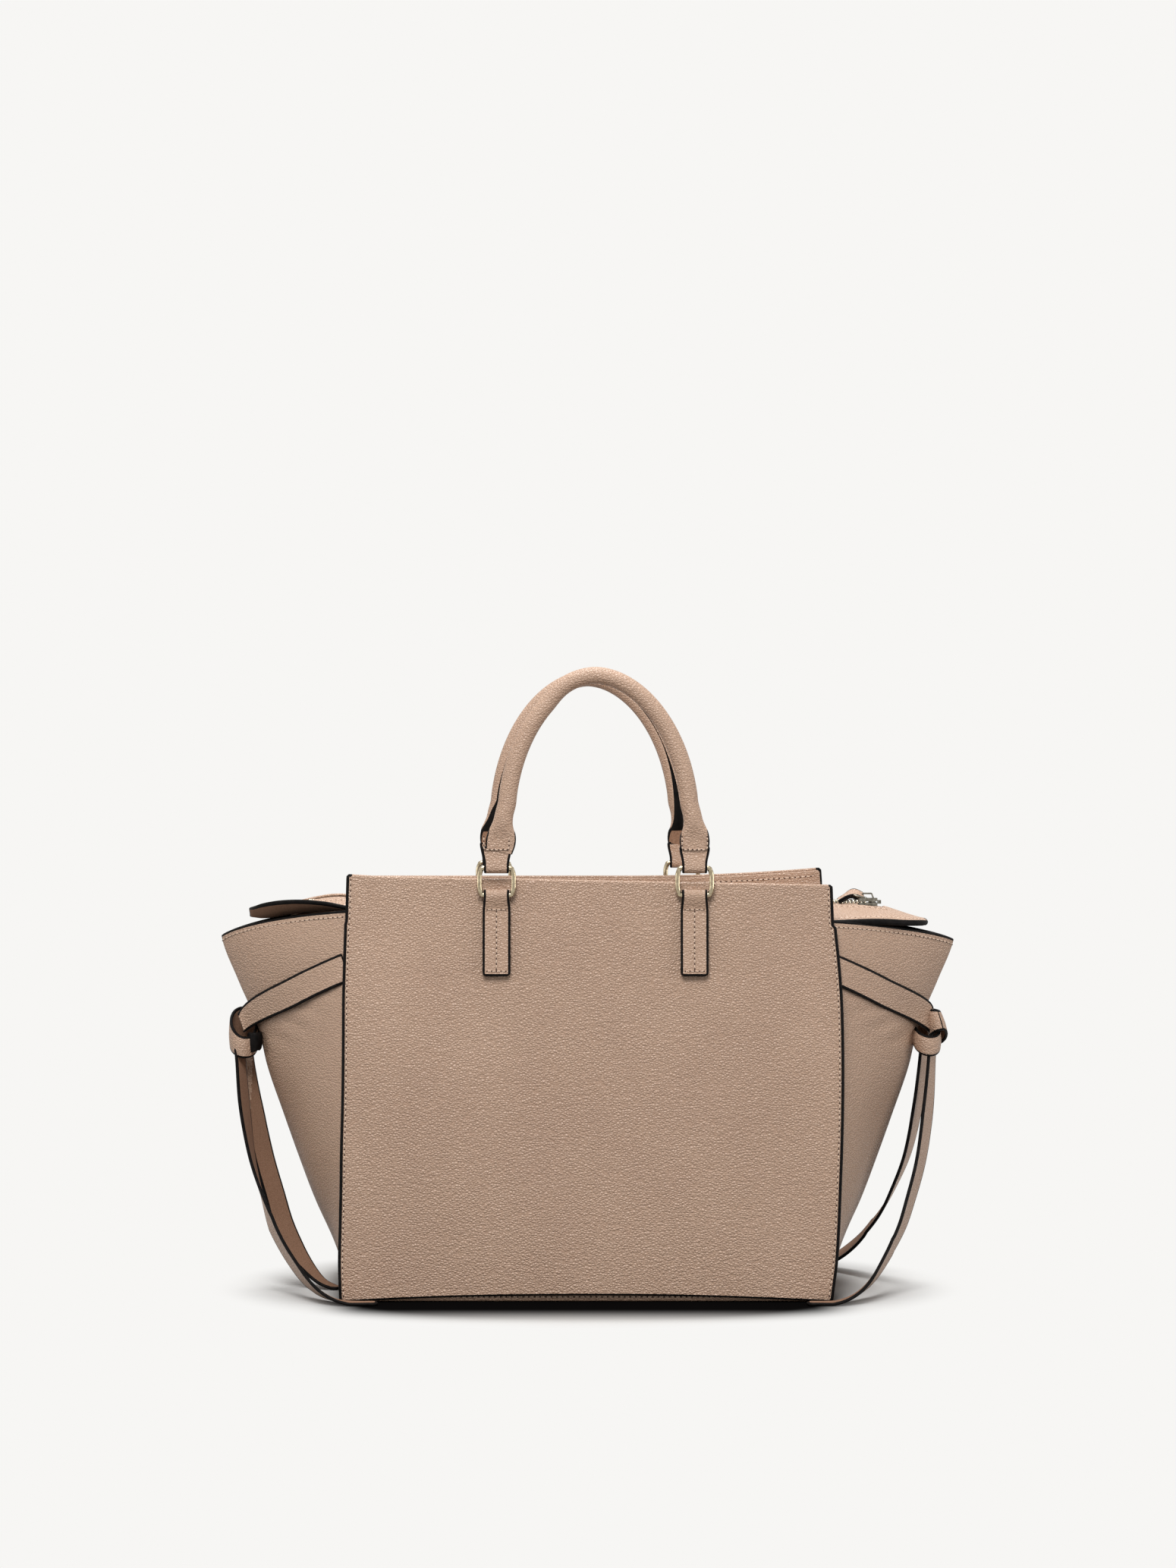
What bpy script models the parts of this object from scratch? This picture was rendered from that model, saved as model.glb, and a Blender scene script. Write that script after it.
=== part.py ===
"""Leather tote bag with folded side wings, ring mounted handles and a zip panel in its mouth.

Metres, +Z up. The front panel faces -Y, and the origin is on the floor below the bag's middle.
Depths are measured into the bag from the outer face of the front or rear panel.
"""

import math

import bmesh
import bpy
from mathutils import Matrix, Vector

FRONT = -1
REAR = 1
LEFT = -1
RIGHT = 1

# Clearances
GAP = 0.0003
CUT_OVERRUN = 0.002
WELD = 0.00001

# Main panels
PANEL_HEIGHT = 0.278
PANEL_TOP_HALF = 0.1605
PANEL_WIDEST_HALF = 0.1655
PANEL_FOOT_HALF = 0.164
PANEL_WIDEST_HEIGHT = 0.135
PANEL_THICK = 0.0022
PANEL_TOP_CORNER = 0.003
PANEL_FOOT_CORNER = 0.008
PANEL_FOOT_LIFT = 0.0012
PANEL_FOOT_ARCH = 0.0042
FOOT_HALF_DEPTH = 0.074
DEPTH_TAPER = 0.016
TOP_HALF_DEPTH = FOOT_HALF_DEPTH - DEPTH_TAPER
LEAN = math.atan(DEPTH_TAPER / PANEL_HEIGHT)

# Gussets, whose folds stand out as wings
GUSSET_THICK = 0.0016
SEAM_WIDTH = 0.008
SEAM_INSET = 0.0035
WING_REACH = 0.2484
WING_TIP_DROP = 0.041
WING_TIP_HEIGHT = PANEL_HEIGHT - WING_TIP_DROP
WING_SEAM_DROP = 0.025
WING_SEAM_HEIGHT = PANEL_HEIGHT - WING_SEAM_DROP
WING_ROUND = 1.25
WING_BOW_SHARE = 0.38
# Height and reach shares of the fold, from the foot to the tip
FOLD_SHARES = (
    (0.0, 0.0),
    (0.125, 0.119),
    (0.25, 0.274),
    (0.375, 0.403),
    (0.5, 0.524),
    (0.625, 0.641),
    (0.75, 0.725),
    (0.875, 0.870),
    (1.0, 1.0),
)
SEAM_DEPTH = PANEL_THICK + GAP + GUSSET_THICK / 2

# Base, stiffener and lining
BASE_THICK = 0.0019
BASE_FLANGE_HEIGHT = 0.011
BOARD_THICK = 0.002
BOARD_MARGIN = 0.002
LINING_THICK = 0.0008
LINING_SIDE_INSET = 0.0062
GUSSET_LINING_INSET = 0.0026
GUSSET_LINING_DROP = 0.0024
LINING_TOP_DROP = 0.0262
LINING_TOP_HEIGHT = PANEL_HEIGHT - LINING_TOP_DROP
LINING_DEPTH = PANEL_THICK + GAP + BASE_THICK + GAP + LINING_THICK / 2
POCKET_HALF_WIDTH = 0.075
POCKET_LOW = 0.095
POCKET_HIGH = 0.205
POCKET_CORNER = 0.010

# Facings inside the top edges
FACING_THICK = 0.0014
FACING_DEPTH = 0.023
FACING_LOW = PANEL_HEIGHT - FACING_DEPTH
FACING_MARGIN = 0.0012
FACING_CORNER = 0.002

# Zip panel
ZIP_DROP = 0.0175
ZIP_HEIGHT = PANEL_HEIGHT - ZIP_DROP
FLAP_THICK = 0.0016
FLAP_HINGE_DROP = 0.0075
FLAP_HINGE_HEIGHT = ZIP_HEIGHT - FLAP_HINGE_DROP
FLAP_HINGE_DEPTH = 0.0055
FLAP_HALF_LENGTH = 0.1547
FLAP_EDGE = 0.008
TAPE_THICK = 0.0004
TAPE_INNER = 0.0034
TAPE_BEND = 0.007
TAPE_OUTER = 0.013
TAPE_HALF_LENGTH = 0.206
TOOTH_PITCH = 0.004
TOOTH_LENGTH = 0.0016
TOOTH_HEIGHT = 0.0024
TOOTH_NOSE = 0.0008
TOOTH_SPINE = 0.0009
CHAIN_END = 0.190
STOP_LENGTH = 0.0022
TONGUE_THICK = 0.0022
TONGUE_TIP = 0.228
TONGUE_HALF_WIDTH = 0.047
TONGUE_NOSE_HALF = 0.002
TONGUE_DROP = 0.0105
TONGUE_NOSE_FALL = 0.013
TONGUE_NOSE_START = 0.2065
TONGUE_SLOT_END = 0.201
TONGUE_CREST_LIFT = 0.0005
TONGUE_TAPER = 1.4
TONGUE_ROUND = 1.8
TONGUE_CROWN = 2.5
TONGUE_FALL_POWER = 1.5
TONGUE_ROOT_DROP_SHARE = 0.72

# Zip slider and its pull
SLIDER_REST = 0.1895
SLIDER_HALF_LENGTH = 0.00675
SLIDER_TAIL_HALF = 0.0045
SLIDER_SHOULDER_HALF = 0.0052
SLIDER_HEIGHT = 0.0054
SLIDER_CHANNEL_HEIGHT = 0.0032
SLIDER_CHANNEL_HALF = 0.0034
SLIDER_MOUTH_HALF = 0.0042
SLIDER_TAPE_SLOT = 0.00095
SLIDER_CORNER = 0.0012
WEDGE_START = 0.0005
WEDGE_END = 0.0056
WEDGE_HALF = 0.0016
BAIL_HALF_LENGTH = 0.0048
BAIL_TOP_HALF = 0.0033
BAIL_RISE = 0.0035
BAIL_WALL = 0.0011
BAIL_WIDTH = 0.0024
PULL_WIRE = 0.0016
PULL_RING_LENGTH = 0.010
PULL_RING_HALF_WIDTH = 0.0037
PULL_RING_CORNER = 0.0014
PULL_RING_SHIFT = 0.0015
PULL_PLY = 0.0012
PULL_TAB_LENGTH = 0.024
PULL_TAB_ROOT_WIDTH = 0.0050
PULL_TAB_END_WIDTH = 0.009
PULL_TAB_CORNER = 0.002

# Rings, tabs and handles
RING_WIRE = 0.0034
RING_BAR_HALF = 0.0104
RING_SIDE_HALF = 0.011
RING_HEIGHT = 0.0178
RING_SHOULDER = 0.0022
RING_CORNER = 0.0008
RING_BAR_DROP = 0.0106
RING_BAR_HEIGHT = PANEL_HEIGHT - RING_BAR_DROP
RING_SPACING = 0.1308
FRONT_HANDLE_SHIFT = 0.005
TAB_WIDTH = 0.0174
TAB_PLY = 0.0017
TAB_DROP = 0.064
TAB_LOW = PANEL_HEIGHT - TAB_DROP
TAB_CORNER = 0.0012
HANDLE_PLY = 0.002
HANDLE_LEG_DIAMETER = 0.0135
HANDLE_CROWN_DIAMETER = 0.011
HANDLE_END_WIDTH = 0.016
HANDLE_FLARE_WIDTH = 0.020
HANDLE_FLARE_RISE = 0.017
HANDLE_ARCH_RISE = 0.037
HANDLE_ARCH_BASE = PANEL_HEIGHT + HANDLE_ARCH_RISE
HANDLE_ARCH_HALF = 0.0625
HANDLE_CROWN_RISE = 0.1345
HANDLE_CROWN_HEIGHT = PANEL_HEIGHT + HANDLE_CROWN_RISE
HANDLE_ARCH_NARROWING = 1.08

# Ties
TIE_WIDTH = 0.0185
TIE_THICK = 0.0018
TIE_SEAM_DROP = 0.059
TIE_SEAM_HEIGHT = PANEL_HEIGHT - TIE_SEAM_DROP
TIE_FOLD_DROP = 0.090
TIE_FOLD_HEIGHT = PANEL_HEIGHT - TIE_FOLD_DROP
TIE_START_TURN = 0.95
TIE_END_TURN = 0.2
TIE_STANDOFF = 0.0012
TIE_GATHERED_WIDTH = 0.0115
KNOT_REACH = 0.2336
KNOT_DROP = 0.1115
KNOT_HEIGHT = PANEL_HEIGHT - KNOT_DROP
KNOT_HALF_LENGTH = 0.0072
KNOT_HALF_WIDTH = 0.0135
KNOT_BAND_HEIGHT = 0.015
KNOT_BAND_THICK = 0.002
KNOT_STRAP_WIDTH = 0.0075
KNOT_ENTRY_SHARE = 0.75
KNOT_TILT = -0.0008
TAIL_TOP_DROP = 0.0115
TAIL_TOP_HEIGHT = KNOT_HEIGHT - TAIL_TOP_DROP
TAIL_TIP_REACH = 0.144
TAIL_CLEARANCE = 0.0105
TAIL_FORWARD = FOOT_HALF_DEPTH + TAIL_CLEARANCE
TAIL_REAR_INSET = 0.008
# Height, reach and forward shares of a tail, from the knot to its tip on the floor
TAIL_SHARES = (
    (0.80, 0.975, 0.055),
    (0.57, 0.92, 0.14),
    (0.39, 0.83, 0.28),
    (0.27, 0.75, 0.41),
    (0.16, 0.63, 0.58),
    (0.075, 0.49, 0.78),
    (0.024, 0.345, 0.93),
    (0.0, 0.19, 1.0),
    (0.0, 0.0, 1.0),
)
# The same shares for the rear left tail, which drops beside the wing and ends at its foot
TAIL_BESIDE_SHARES = (
    (0.80, 0.950, 0.0),
    (0.57, 0.865, -0.01),
    (0.39, 0.770, -0.05),
    (0.27, 0.700, -0.09),
    (0.16, 0.600, -0.13),
    (0.075, 0.480, -0.17),
    (0.024, 0.375, -0.20),
    (0.0, 0.270, -0.22),
    (0.0, 0.225, -0.23),
)


def srgb(code):
    """Linear colour of a six digit sRGB code."""
    channels = [int(code[place : place + 2], 16) / 255 for place in (0, 2, 4)]
    return [c / 12.92 if c <= 0.04045 else ((c + 0.055) / 1.055) ** 2.4 for c in channels]


def finish(name, code, roughness, metallic=0.0):
    """A plain Principled material."""
    made = bpy.data.materials.new(name)
    made.use_nodes = True
    shader = made.node_tree.nodes["Principled BSDF"]
    shader.inputs["Base Color"].default_value = (*srgb(code), 1.0)
    shader.inputs["Roughness"].default_value = roughness
    shader.inputs["Metallic"].default_value = metallic
    return made


def lerp(start, end, share):
    """The value a share of the way from start to end."""
    return start + (end - start) * share


def smooth(keys, place):
    """Catmull-Rom value of equally spaced keys at a place counted in keys."""
    last = len(keys) - 1
    low = min(int(place), last - 1)
    share = place - low
    before, start, end, after = (keys[min(max(low + step, 0), last)] for step in (-1, 0, 1, 2))
    rise = (end - before) / 2
    fall = (after - start) / 2
    square = share * share
    cube = square * share
    return (
        start * (2 * cube - 3 * square + 1)
        + rise * (cube - 2 * square + share)
        + end * (3 * square - 2 * cube)
        + fall * (cube - square)
    )


def table_share(table, place):
    """Smoothly read a table of (place, value) shares."""
    low = 0
    while low < len(table) - 2 and place > table[low + 1][0]:
        low += 1
    start, end = table[low], table[low + 1]
    share = (place - start[0]) / (end[0] - start[0])
    return smooth([value for _, value in table], low + share)


def face_depth(height):
    """Distance of a main panel's outer face from the bag's middle plane."""
    return lerp(FOOT_HALF_DEPTH, TOP_HALF_DEPTH, height / PANEL_HEIGHT)


def panel_half(height):
    """Half width of a main panel, widest a little below its middle."""
    if height > PANEL_WIDEST_HEIGHT:
        share = (height - PANEL_WIDEST_HEIGHT) / (PANEL_HEIGHT - PANEL_WIDEST_HEIGHT)
        return lerp(PANEL_WIDEST_HALF, PANEL_TOP_HALF, share * share)
    share = 1 - height / PANEL_WIDEST_HEIGHT
    return lerp(PANEL_WIDEST_HALF, PANEL_FOOT_HALF, share * share)


def seam_reach(height):
    """Distance of the gusset's seam from the bag's middle."""
    return panel_half(height) - SEAM_INSET


def fold_reach(height):
    """Distance of the wing's fold from the bag's middle."""
    share = table_share(FOLD_SHARES, height / WING_TIP_HEIGHT)
    return lerp(seam_reach(0), WING_REACH, share)


def wing_top(turn):
    """Height of the wing's upper edge, from the seams at turn 1 or -1 to the tip at turn 0."""
    share = 1 - abs(turn)
    share = lerp(share, share * share, WING_BOW_SHARE)
    return lerp(WING_SEAM_HEIGHT, WING_TIP_HEIGHT, share)


def wing_point(side, turn, height, inset):
    """A point of a wing's middle surface, moved into the bag by inset."""
    seam = seam_reach(height)
    depth = face_depth(height) - SEAM_DEPTH - inset
    spread = fold_reach(height) - seam
    slope = WING_ROUND * spread * abs(turn) ** (WING_ROUND - 1) / depth
    pull = inset * (math.hypot(1, slope) - abs(turn) * slope)
    reach = seam + spread * (1 - abs(turn) ** WING_ROUND) - pull
    return Vector((side * reach, depth * turn, height))


def clear_scene():
    """Remove every object of the open scene."""
    for old in list(bpy.data.objects):
        bpy.data.objects.remove(old)


def new_collection(name):
    """A collection in the scene."""
    made = bpy.data.collections.new(name)
    bpy.context.scene.collection.children.link(made)
    return made


def pivot(name, point, parent=None):
    """An empty on a joint's axis, which carries the pieces that turn or slide there."""
    empty = bpy.data.objects.new(name, None)
    empty.location = point
    parts.objects.link(empty)
    if parent:
        carry(empty, parent)
    return empty


def carry(obj, empty):
    """Parent an object to an empty and leave it where it is."""
    obj.parent = empty
    obj.matrix_parent_inverse = Matrix.Translation(-empty.location)


def keep(obj, coat, empty=None):
    """Put a finished piece in the bag's collection, in its material, on its pivot."""
    if obj.name not in parts.objects:
        parts.objects.link(obj)
    obj.data.materials.append(coat)
    if empty:
        carry(obj, empty)
    return obj


def mesh_object(name, bm):
    """A mesh object from a bmesh, which is freed."""
    mesh = bpy.data.meshes.new(name)
    bm.to_mesh(mesh)
    bm.free()
    return bpy.data.objects.new(name, mesh)


def box(name, low, high):
    """A box between two corners."""
    low = Vector(low)
    high = Vector(high)
    bm = bmesh.new()
    spread = Matrix.Diagonal((*(high - low), 1))
    bmesh.ops.create_cube(bm, size=1, matrix=Matrix.Translation((low + high) / 2) @ spread)
    return mesh_object(name, bm)


def rod(name, centre, along, radius, length, sides):
    """A cylinder with its middle at centre and its axis along a vector."""
    bm = bmesh.new()
    turn = Vector((0, 0, 1)).rotation_difference(along).to_matrix().to_4x4()
    bmesh.ops.create_cone(
        bm,
        cap_ends=True,
        segments=sides,
        radius1=radius,
        radius2=radius,
        depth=length,
        matrix=Matrix.Translation(centre) @ turn,
    )
    obj = mesh_object(name, bm)
    obj.data.set_sharp_from_angle(angle=math.radians(40))
    return obj


def loft(name, rings, closed=False):
    """Skin a run of rings of points, capped at its ends unless it closes on itself."""
    bm = bmesh.new()
    loops = [[bm.verts.new(point) for point in ring] for ring in rings]
    count = len(loops)
    for place in range(count if closed else count - 1):
        near = loops[place]
        far = loops[(place + 1) % count]
        for corner, vert in enumerate(near):
            after = (corner + 1) % len(near)
            bm.faces.new((vert, near[after], far[after], far[corner]))
    if not closed:
        bm.faces.new(loops[0])
        bm.faces.new(loops[-1])
    bmesh.ops.recalc_face_normals(bm, faces=bm.faces)
    return mesh_object(name, bm)


def sheet(name, place, columns, rows, thick):
    """A grid laid on the surface that place(across, up) gives, thickened to both sides."""
    bm = bmesh.new()
    bmesh.ops.create_grid(bm, x_segments=columns, y_segments=rows, size=0.5)
    for vert in bm.verts:
        vert.co = place(vert.co.x + 0.5, vert.co.y + 0.5)
    obj = mesh_object(name, bm)
    wall = obj.modifiers.new("wall", "SOLIDIFY")
    wall.thickness = thick
    wall.offset = 0
    wall.use_even_offset = True
    return obj


def outline(name, points, thick):
    """A flat closed outline in the XY plane, thickened evenly to both sides."""
    curve = bpy.data.curves.new(name, "CURVE")
    curve.dimensions = "2D"
    curve.fill_mode = "BOTH"
    curve.extrude = thick / 2
    spline = curve.splines.new("POLY")
    spline.points.add(len(points) - 1)
    for point, (across, up) in zip(spline.points, points):
        point.co = (across, up, 0, 1)
    spline.use_cyclic_u = True
    return bpy.data.objects.new(name, curve)


def wire_ring(name, points, diameter):
    """A closed loop of round wire through the points."""
    curve = bpy.data.curves.new(name, "CURVE")
    curve.dimensions = "3D"
    curve.bevel_depth = diameter / 2
    curve.bevel_resolution = 2
    spline = curve.splines.new("POLY")
    spline.points.add(len(points) - 1)
    for point, place in zip(spline.points, points):
        point.co = (*place, 1)
    spline.use_cyclic_u = True
    return bpy.data.objects.new(name, curve)


def as_mesh(curve_object):
    """A welded mesh object in the place of a curve object, which is removed."""
    name = curve_object.name
    parts.objects.link(curve_object)
    graph = bpy.context.evaluated_depsgraph_get()
    mesh = bpy.data.meshes.new_from_object(curve_object.evaluated_get(graph))
    bm = bmesh.new()
    bm.from_mesh(mesh)
    bmesh.ops.remove_doubles(bm, verts=bm.verts, dist=WELD)
    bm.to_mesh(mesh)
    bm.free()
    matrix = curve_object.matrix_world.copy()
    bpy.data.objects.remove(curve_object)
    solid = bpy.data.objects.new(name, mesh)
    solid.matrix_world = matrix
    return solid


def combine(target, tool, operation):
    """Cut the tool from the target, or join it to the target."""
    cutters.objects.link(tool)
    tool.hide_render = True
    tool.display_type = "WIRE"
    step = target.modifiers.new(tool.name, "BOOLEAN")
    step.operation = operation
    step.solver = "EXACT"
    step.object = tool
    return target


def rounded(corners, steps=3):
    """Points of a closed outline of (across, up, radius) corners, sharp where the radius is 0."""
    points = []
    count = len(corners)
    for place, (across, up, radius) in enumerate(corners):
        here = Vector((across, up))
        if not radius:
            points.append((across, up))
            continue
        before = (Vector(corners[place - 1][:2]) - here).normalized()
        after = (Vector(corners[(place + 1) % count][:2]) - here).normalized()
        half = before.angle(after) / 2
        middle = here + (before + after).normalized() * radius / math.sin(half)
        reach = radius / math.tan(half)
        start = here + before * reach - middle
        sweep = start.angle_signed(here + after * reach - middle)
        for step in range(steps + 1):
            turned = start.copy()
            turned.rotate(Matrix.Rotation(-sweep * step / steps, 2))
            points.append(tuple(middle + turned))
    return points


def rectangle(half, low, high, radius):
    """Corners of a rectangle that is even about the middle."""
    return [(-half, low, radius), (half, low, radius), (half, high, radius), (-half, high, radius)]


def lean_plate(name, points, thick, depth, face):
    """An outline of (across, height) points, laid parallel to the front or rear panel."""
    sloped = [(across, height / math.cos(LEAN)) for across, height in points]
    plate = outline(name, sloped, thick)
    plate.rotation_euler = (math.pi / 2 + face * LEAN, 0, 0)
    plate.location = (0, face * (FOOT_HALF_DEPTH - depth), 0)
    return plate


def panel_points(low, high, inset, arch, foot_corner, top_corner):
    """An outline that follows the main panel's sides, inset from them, over an arched foot."""
    steps = 6
    right = []
    for step in range(steps + 1):
        turn = math.pi / 2 * step / steps
        height = low + foot_corner * (1 - math.cos(turn))
        right.append((panel_half(height) - inset - foot_corner * (1 - math.sin(turn)), height))
    for step in range(1, steps):
        height = lerp(low + foot_corner, high - top_corner, step / steps)
        right.append((panel_half(height) - inset, height))
    for step in range(steps // 2 + 1):
        turn = math.pi * step / steps
        height = high - top_corner * (1 - math.sin(turn))
        right.append((panel_half(height) - inset - top_corner * (1 - math.cos(turn)), height))
    left = [(-across, height) for across, height in reversed(right)]
    foot_half = right[0][0]
    foot = []
    for step in range(1, 2 * steps):
        share = step / steps - 1
        foot.append((foot_half * share, low + arch * (1 - share * share)))
    return right + left + foot


def section(half_width, half_thick, roundness, sides):
    """Points of a superellipse, round at 2 and nearly a rectangle at 6."""
    points = []
    for step in range(sides):
        turn = 2 * math.pi * (step + 0.5) / sides
        across = math.copysign(abs(math.cos(turn)) ** (2 / roundness), math.cos(turn))
        through = math.copysign(abs(math.sin(turn)) ** (2 / roundness), math.sin(turn))
        points.append((half_width * across, half_thick * through))
    return points


def strap(name, keys, steps, closed=False):
    """A flat strap through keys of (centre, width direction, width, thickness)."""
    count = len(keys) * steps if closed else (len(keys) - 1) * steps + 1
    if closed:
        keys = keys + keys[:1]
    stations = []
    for step in range(count):
        place = step / steps
        stations.append([smooth([key[part] for key in keys], place) for part in range(4)])
    rings = []
    for step, (centre, across, width, thick) in enumerate(stations):
        if closed:
            before, after = stations[step - 1][0], stations[(step + 1) % count][0]
        else:
            before, after = stations[max(step - 1, 0)][0], stations[min(step + 1, count - 1)][0]
        along = (after - before).normalized()
        across = (across - along * across.dot(along)).normalized()
        through = along.cross(across)
        corners = ((-1, -1), (1, -1), (1, 1), (-1, 1))
        rings.append(
            [centre + across * width / 2 * a + through * thick / 2 * b for a, b in corners]
        )
    return loft(name, rings, closed)


def face_name(face):
    """The word for a front or rear piece."""
    return "front" if face == FRONT else "rear"


def side_name(side):
    """The word for a left or right piece."""
    return "left" if side == LEFT else "right"


def make_panels():
    """The two flat main panels, the facings inside their top edges and the linings below."""
    for face in (FRONT, REAR):
        shape = panel_points(
            PANEL_FOOT_LIFT, PANEL_HEIGHT, 0, PANEL_FOOT_ARCH, PANEL_FOOT_CORNER, PANEL_TOP_CORNER
        )
        panel = lean_plate(face_name(face) + "_panel", shape, PANEL_THICK, PANEL_THICK / 2, face)
        keep(panel, leather)
        shape = panel_points(
            FACING_LOW, PANEL_HEIGHT - FACING_MARGIN, FACING_MARGIN, 0, FACING_CORNER, FACING_CORNER
        )
        depth = PANEL_THICK + GAP + FACING_THICK / 2
        keep(lean_plate(face_name(face) + "_facing", shape, FACING_THICK, depth, face), leather)
        low = BASE_THICK + BOARD_THICK + LINING_THICK + 3 * GAP
        shape = panel_points(low, LINING_TOP_HEIGHT, LINING_SIDE_INSET, 0, FACING_CORNER, FACING_CORNER)
        name = face_name(face) + "_lining"
        keep(lean_plate(name, shape, LINING_THICK, LINING_DEPTH, face), lining)
    shape = rounded(rectangle(POCKET_HALF_WIDTH, POCKET_LOW, POCKET_HIGH, POCKET_CORNER))
    keep(lean_plate("slip_pocket", shape, LINING_THICK, LINING_DEPTH + LINING_THICK + GAP, REAR), lining)


def make_gusset(side):
    """A gusset and its lining: one folded sheet whose seam allowances lie behind the panels."""

    def leather_place(across, up):
        turn = (across * columns - columns / 2) / (columns / 2 - 1)
        folded = min(max(turn, -1), 1)
        height = lerp(GAP, wing_top(folded), up)
        point = wing_point(side, folded, height, 0)
        if abs(turn) > 1 + WELD:
            point.x -= side * SEAM_WIDTH
        return point

    def lining_place(across, up):
        turn = 2 * across - 1
        low = BASE_THICK + BOARD_THICK + LINING_THICK + 3 * GAP
        height = lerp(low, wing_top(turn) - GUSSET_LINING_DROP, up)
        return wing_point(side, turn, height, GUSSET_LINING_INSET)

    columns = 16
    rows = 14
    name = side_name(side) + "_gusset"
    keep(sheet(name, leather_place, columns, rows, GUSSET_THICK), leather)
    keep(sheet(name + "_lining", lining_place, 10, 10, LINING_THICK), lining)


def make_base():
    """The base panel with flanges behind the main panels, its stiffener and its lining."""
    end = seam_reach(0) - GUSSET_THICK / 2 - GAP
    flange_half = seam_reach(0) - SEAM_WIDTH - GAP
    edge = FOOT_HALF_DEPTH - PANEL_THICK - GAP - BASE_THICK / 4
    notch = FOOT_HALF_DEPTH - SEAM_DEPTH - GUSSET_THICK / 2 - 2 * GAP
    quarter = [(end, notch - BASE_THICK), (flange_half, notch), (flange_half, edge)]
    right_rear = quarter
    left_rear = [(-across, depth) for across, depth in reversed(quarter)]
    left_front = [(-across, -depth) for across, depth in quarter]
    right_front = [(across, -depth) for across, depth in reversed(quarter)]
    base = as_mesh(outline("base_panel", right_rear + left_rear + left_front + right_front, BASE_THICK))
    base.location.z = BASE_THICK / 2
    for face in (FRONT, REAR):
        width_half = flange_half - BASE_THICK
        corners = rectangle(width_half, BASE_THICK / 3, BASE_FLANGE_HEIGHT, BASE_THICK / 2)
        depth = PANEL_THICK + GAP + BASE_THICK / 2
        name = face_name(face) + "_flange_join"
        flange = as_mesh(lean_plate(name, rounded(corners), BASE_THICK, depth, face))
        combine(base, flange, "UNION")
    keep(base, leather)
    flange_face = PANEL_THICK + GAP + BASE_THICK + GAP
    board_half = face_depth(BASE_THICK + BOARD_THICK) - flange_face - BOARD_MARGIN
    shape = rectangle(end - BOARD_MARGIN, -board_half, board_half, BOARD_MARGIN)
    board = outline("base_board", rounded(shape), BOARD_THICK)
    board.location.z = BASE_THICK + GAP + BOARD_THICK / 2
    keep(board, fibreboard)
    top = BASE_THICK + BOARD_THICK + LINING_THICK + 2 * GAP
    cover_half = face_depth(top) - flange_face
    shape = rectangle(end - 2 * GAP, -cover_half, cover_half, BOARD_MARGIN)
    cover = outline("base_lining", rounded(shape), LINING_THICK)
    cover.location.z = top - LINING_THICK / 2
    keep(cover, lining)


def flap_edge_height():
    """Height of the middle of a zip flap's leather at its edge beside the chain."""
    return ZIP_HEIGHT + TAPE_THICK / 2 + GAP + FLAP_THICK / 2


def flap_hinge(face):
    """A point on the sewn edge of a zip flap, which it folds about."""
    depth = face_depth(FLAP_HINGE_HEIGHT) - FLAP_HINGE_DEPTH
    return Vector((0, face * depth, FLAP_HINGE_HEIGHT))


def make_zip_half(face):
    """A zip flap with the tape and the teeth that it carries."""
    hinge = flap_hinge(face)
    slope = (flap_edge_height() - hinge.z) / (abs(hinge.y) - FLAP_EDGE)
    axis = pivot(face_name(face) + "_zip_flap_axis", hinge)

    def flap_place(across, inward):
        depth = lerp(abs(hinge.y), FLAP_EDGE, inward)
        height = lerp(hinge.z, flap_edge_height(), inward)
        return Vector((lerp(-FLAP_HALF_LENGTH, FLAP_HALF_LENGTH, across), face * depth, height))

    def tape_place(across, outward):
        along = lerp(-TAPE_HALF_LENGTH, TAPE_HALF_LENGTH, across)
        depth = (TAPE_INNER, TAPE_BEND, TAPE_OUTER)[round(outward * 2)]
        height = ZIP_HEIGHT - max(0, depth - TAPE_BEND) * slope
        return Vector((along, face * depth, height))

    name = face_name(face) + "_zip_"
    keep(sheet(name + "flap", flap_place, 4, 1, FLAP_THICK), leather, axis)
    keep(sheet(name + "tape", tape_place, 4, 2, TAPE_THICK), tape, axis)
    nose = -face * TOOTH_NOSE
    root = face * (TAPE_INNER - GAP)
    spine = root - face * TOOTH_SPINE
    first = -CHAIN_END + (face == REAR) * TOOTH_PITCH / 2
    last = SLIDER_REST - WEDGE_START - TOOTH_LENGTH
    comb = []
    for count in range(int((last - first) / TOOTH_PITCH) + 1):
        near = first + count * TOOTH_PITCH
        far = near + TOOTH_LENGTH
        comb += [(near, spine), (near, nose), (far, nose), (far, spine)]
    comb = comb[1:-1] + [(comb[-1][0], root), (comb[0][0], root)]
    teeth = outline(name + "teeth", comb, TOOTH_HEIGHT)
    teeth.location.z = ZIP_HEIGHT
    keep(teeth, gunmetal, axis)


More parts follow.
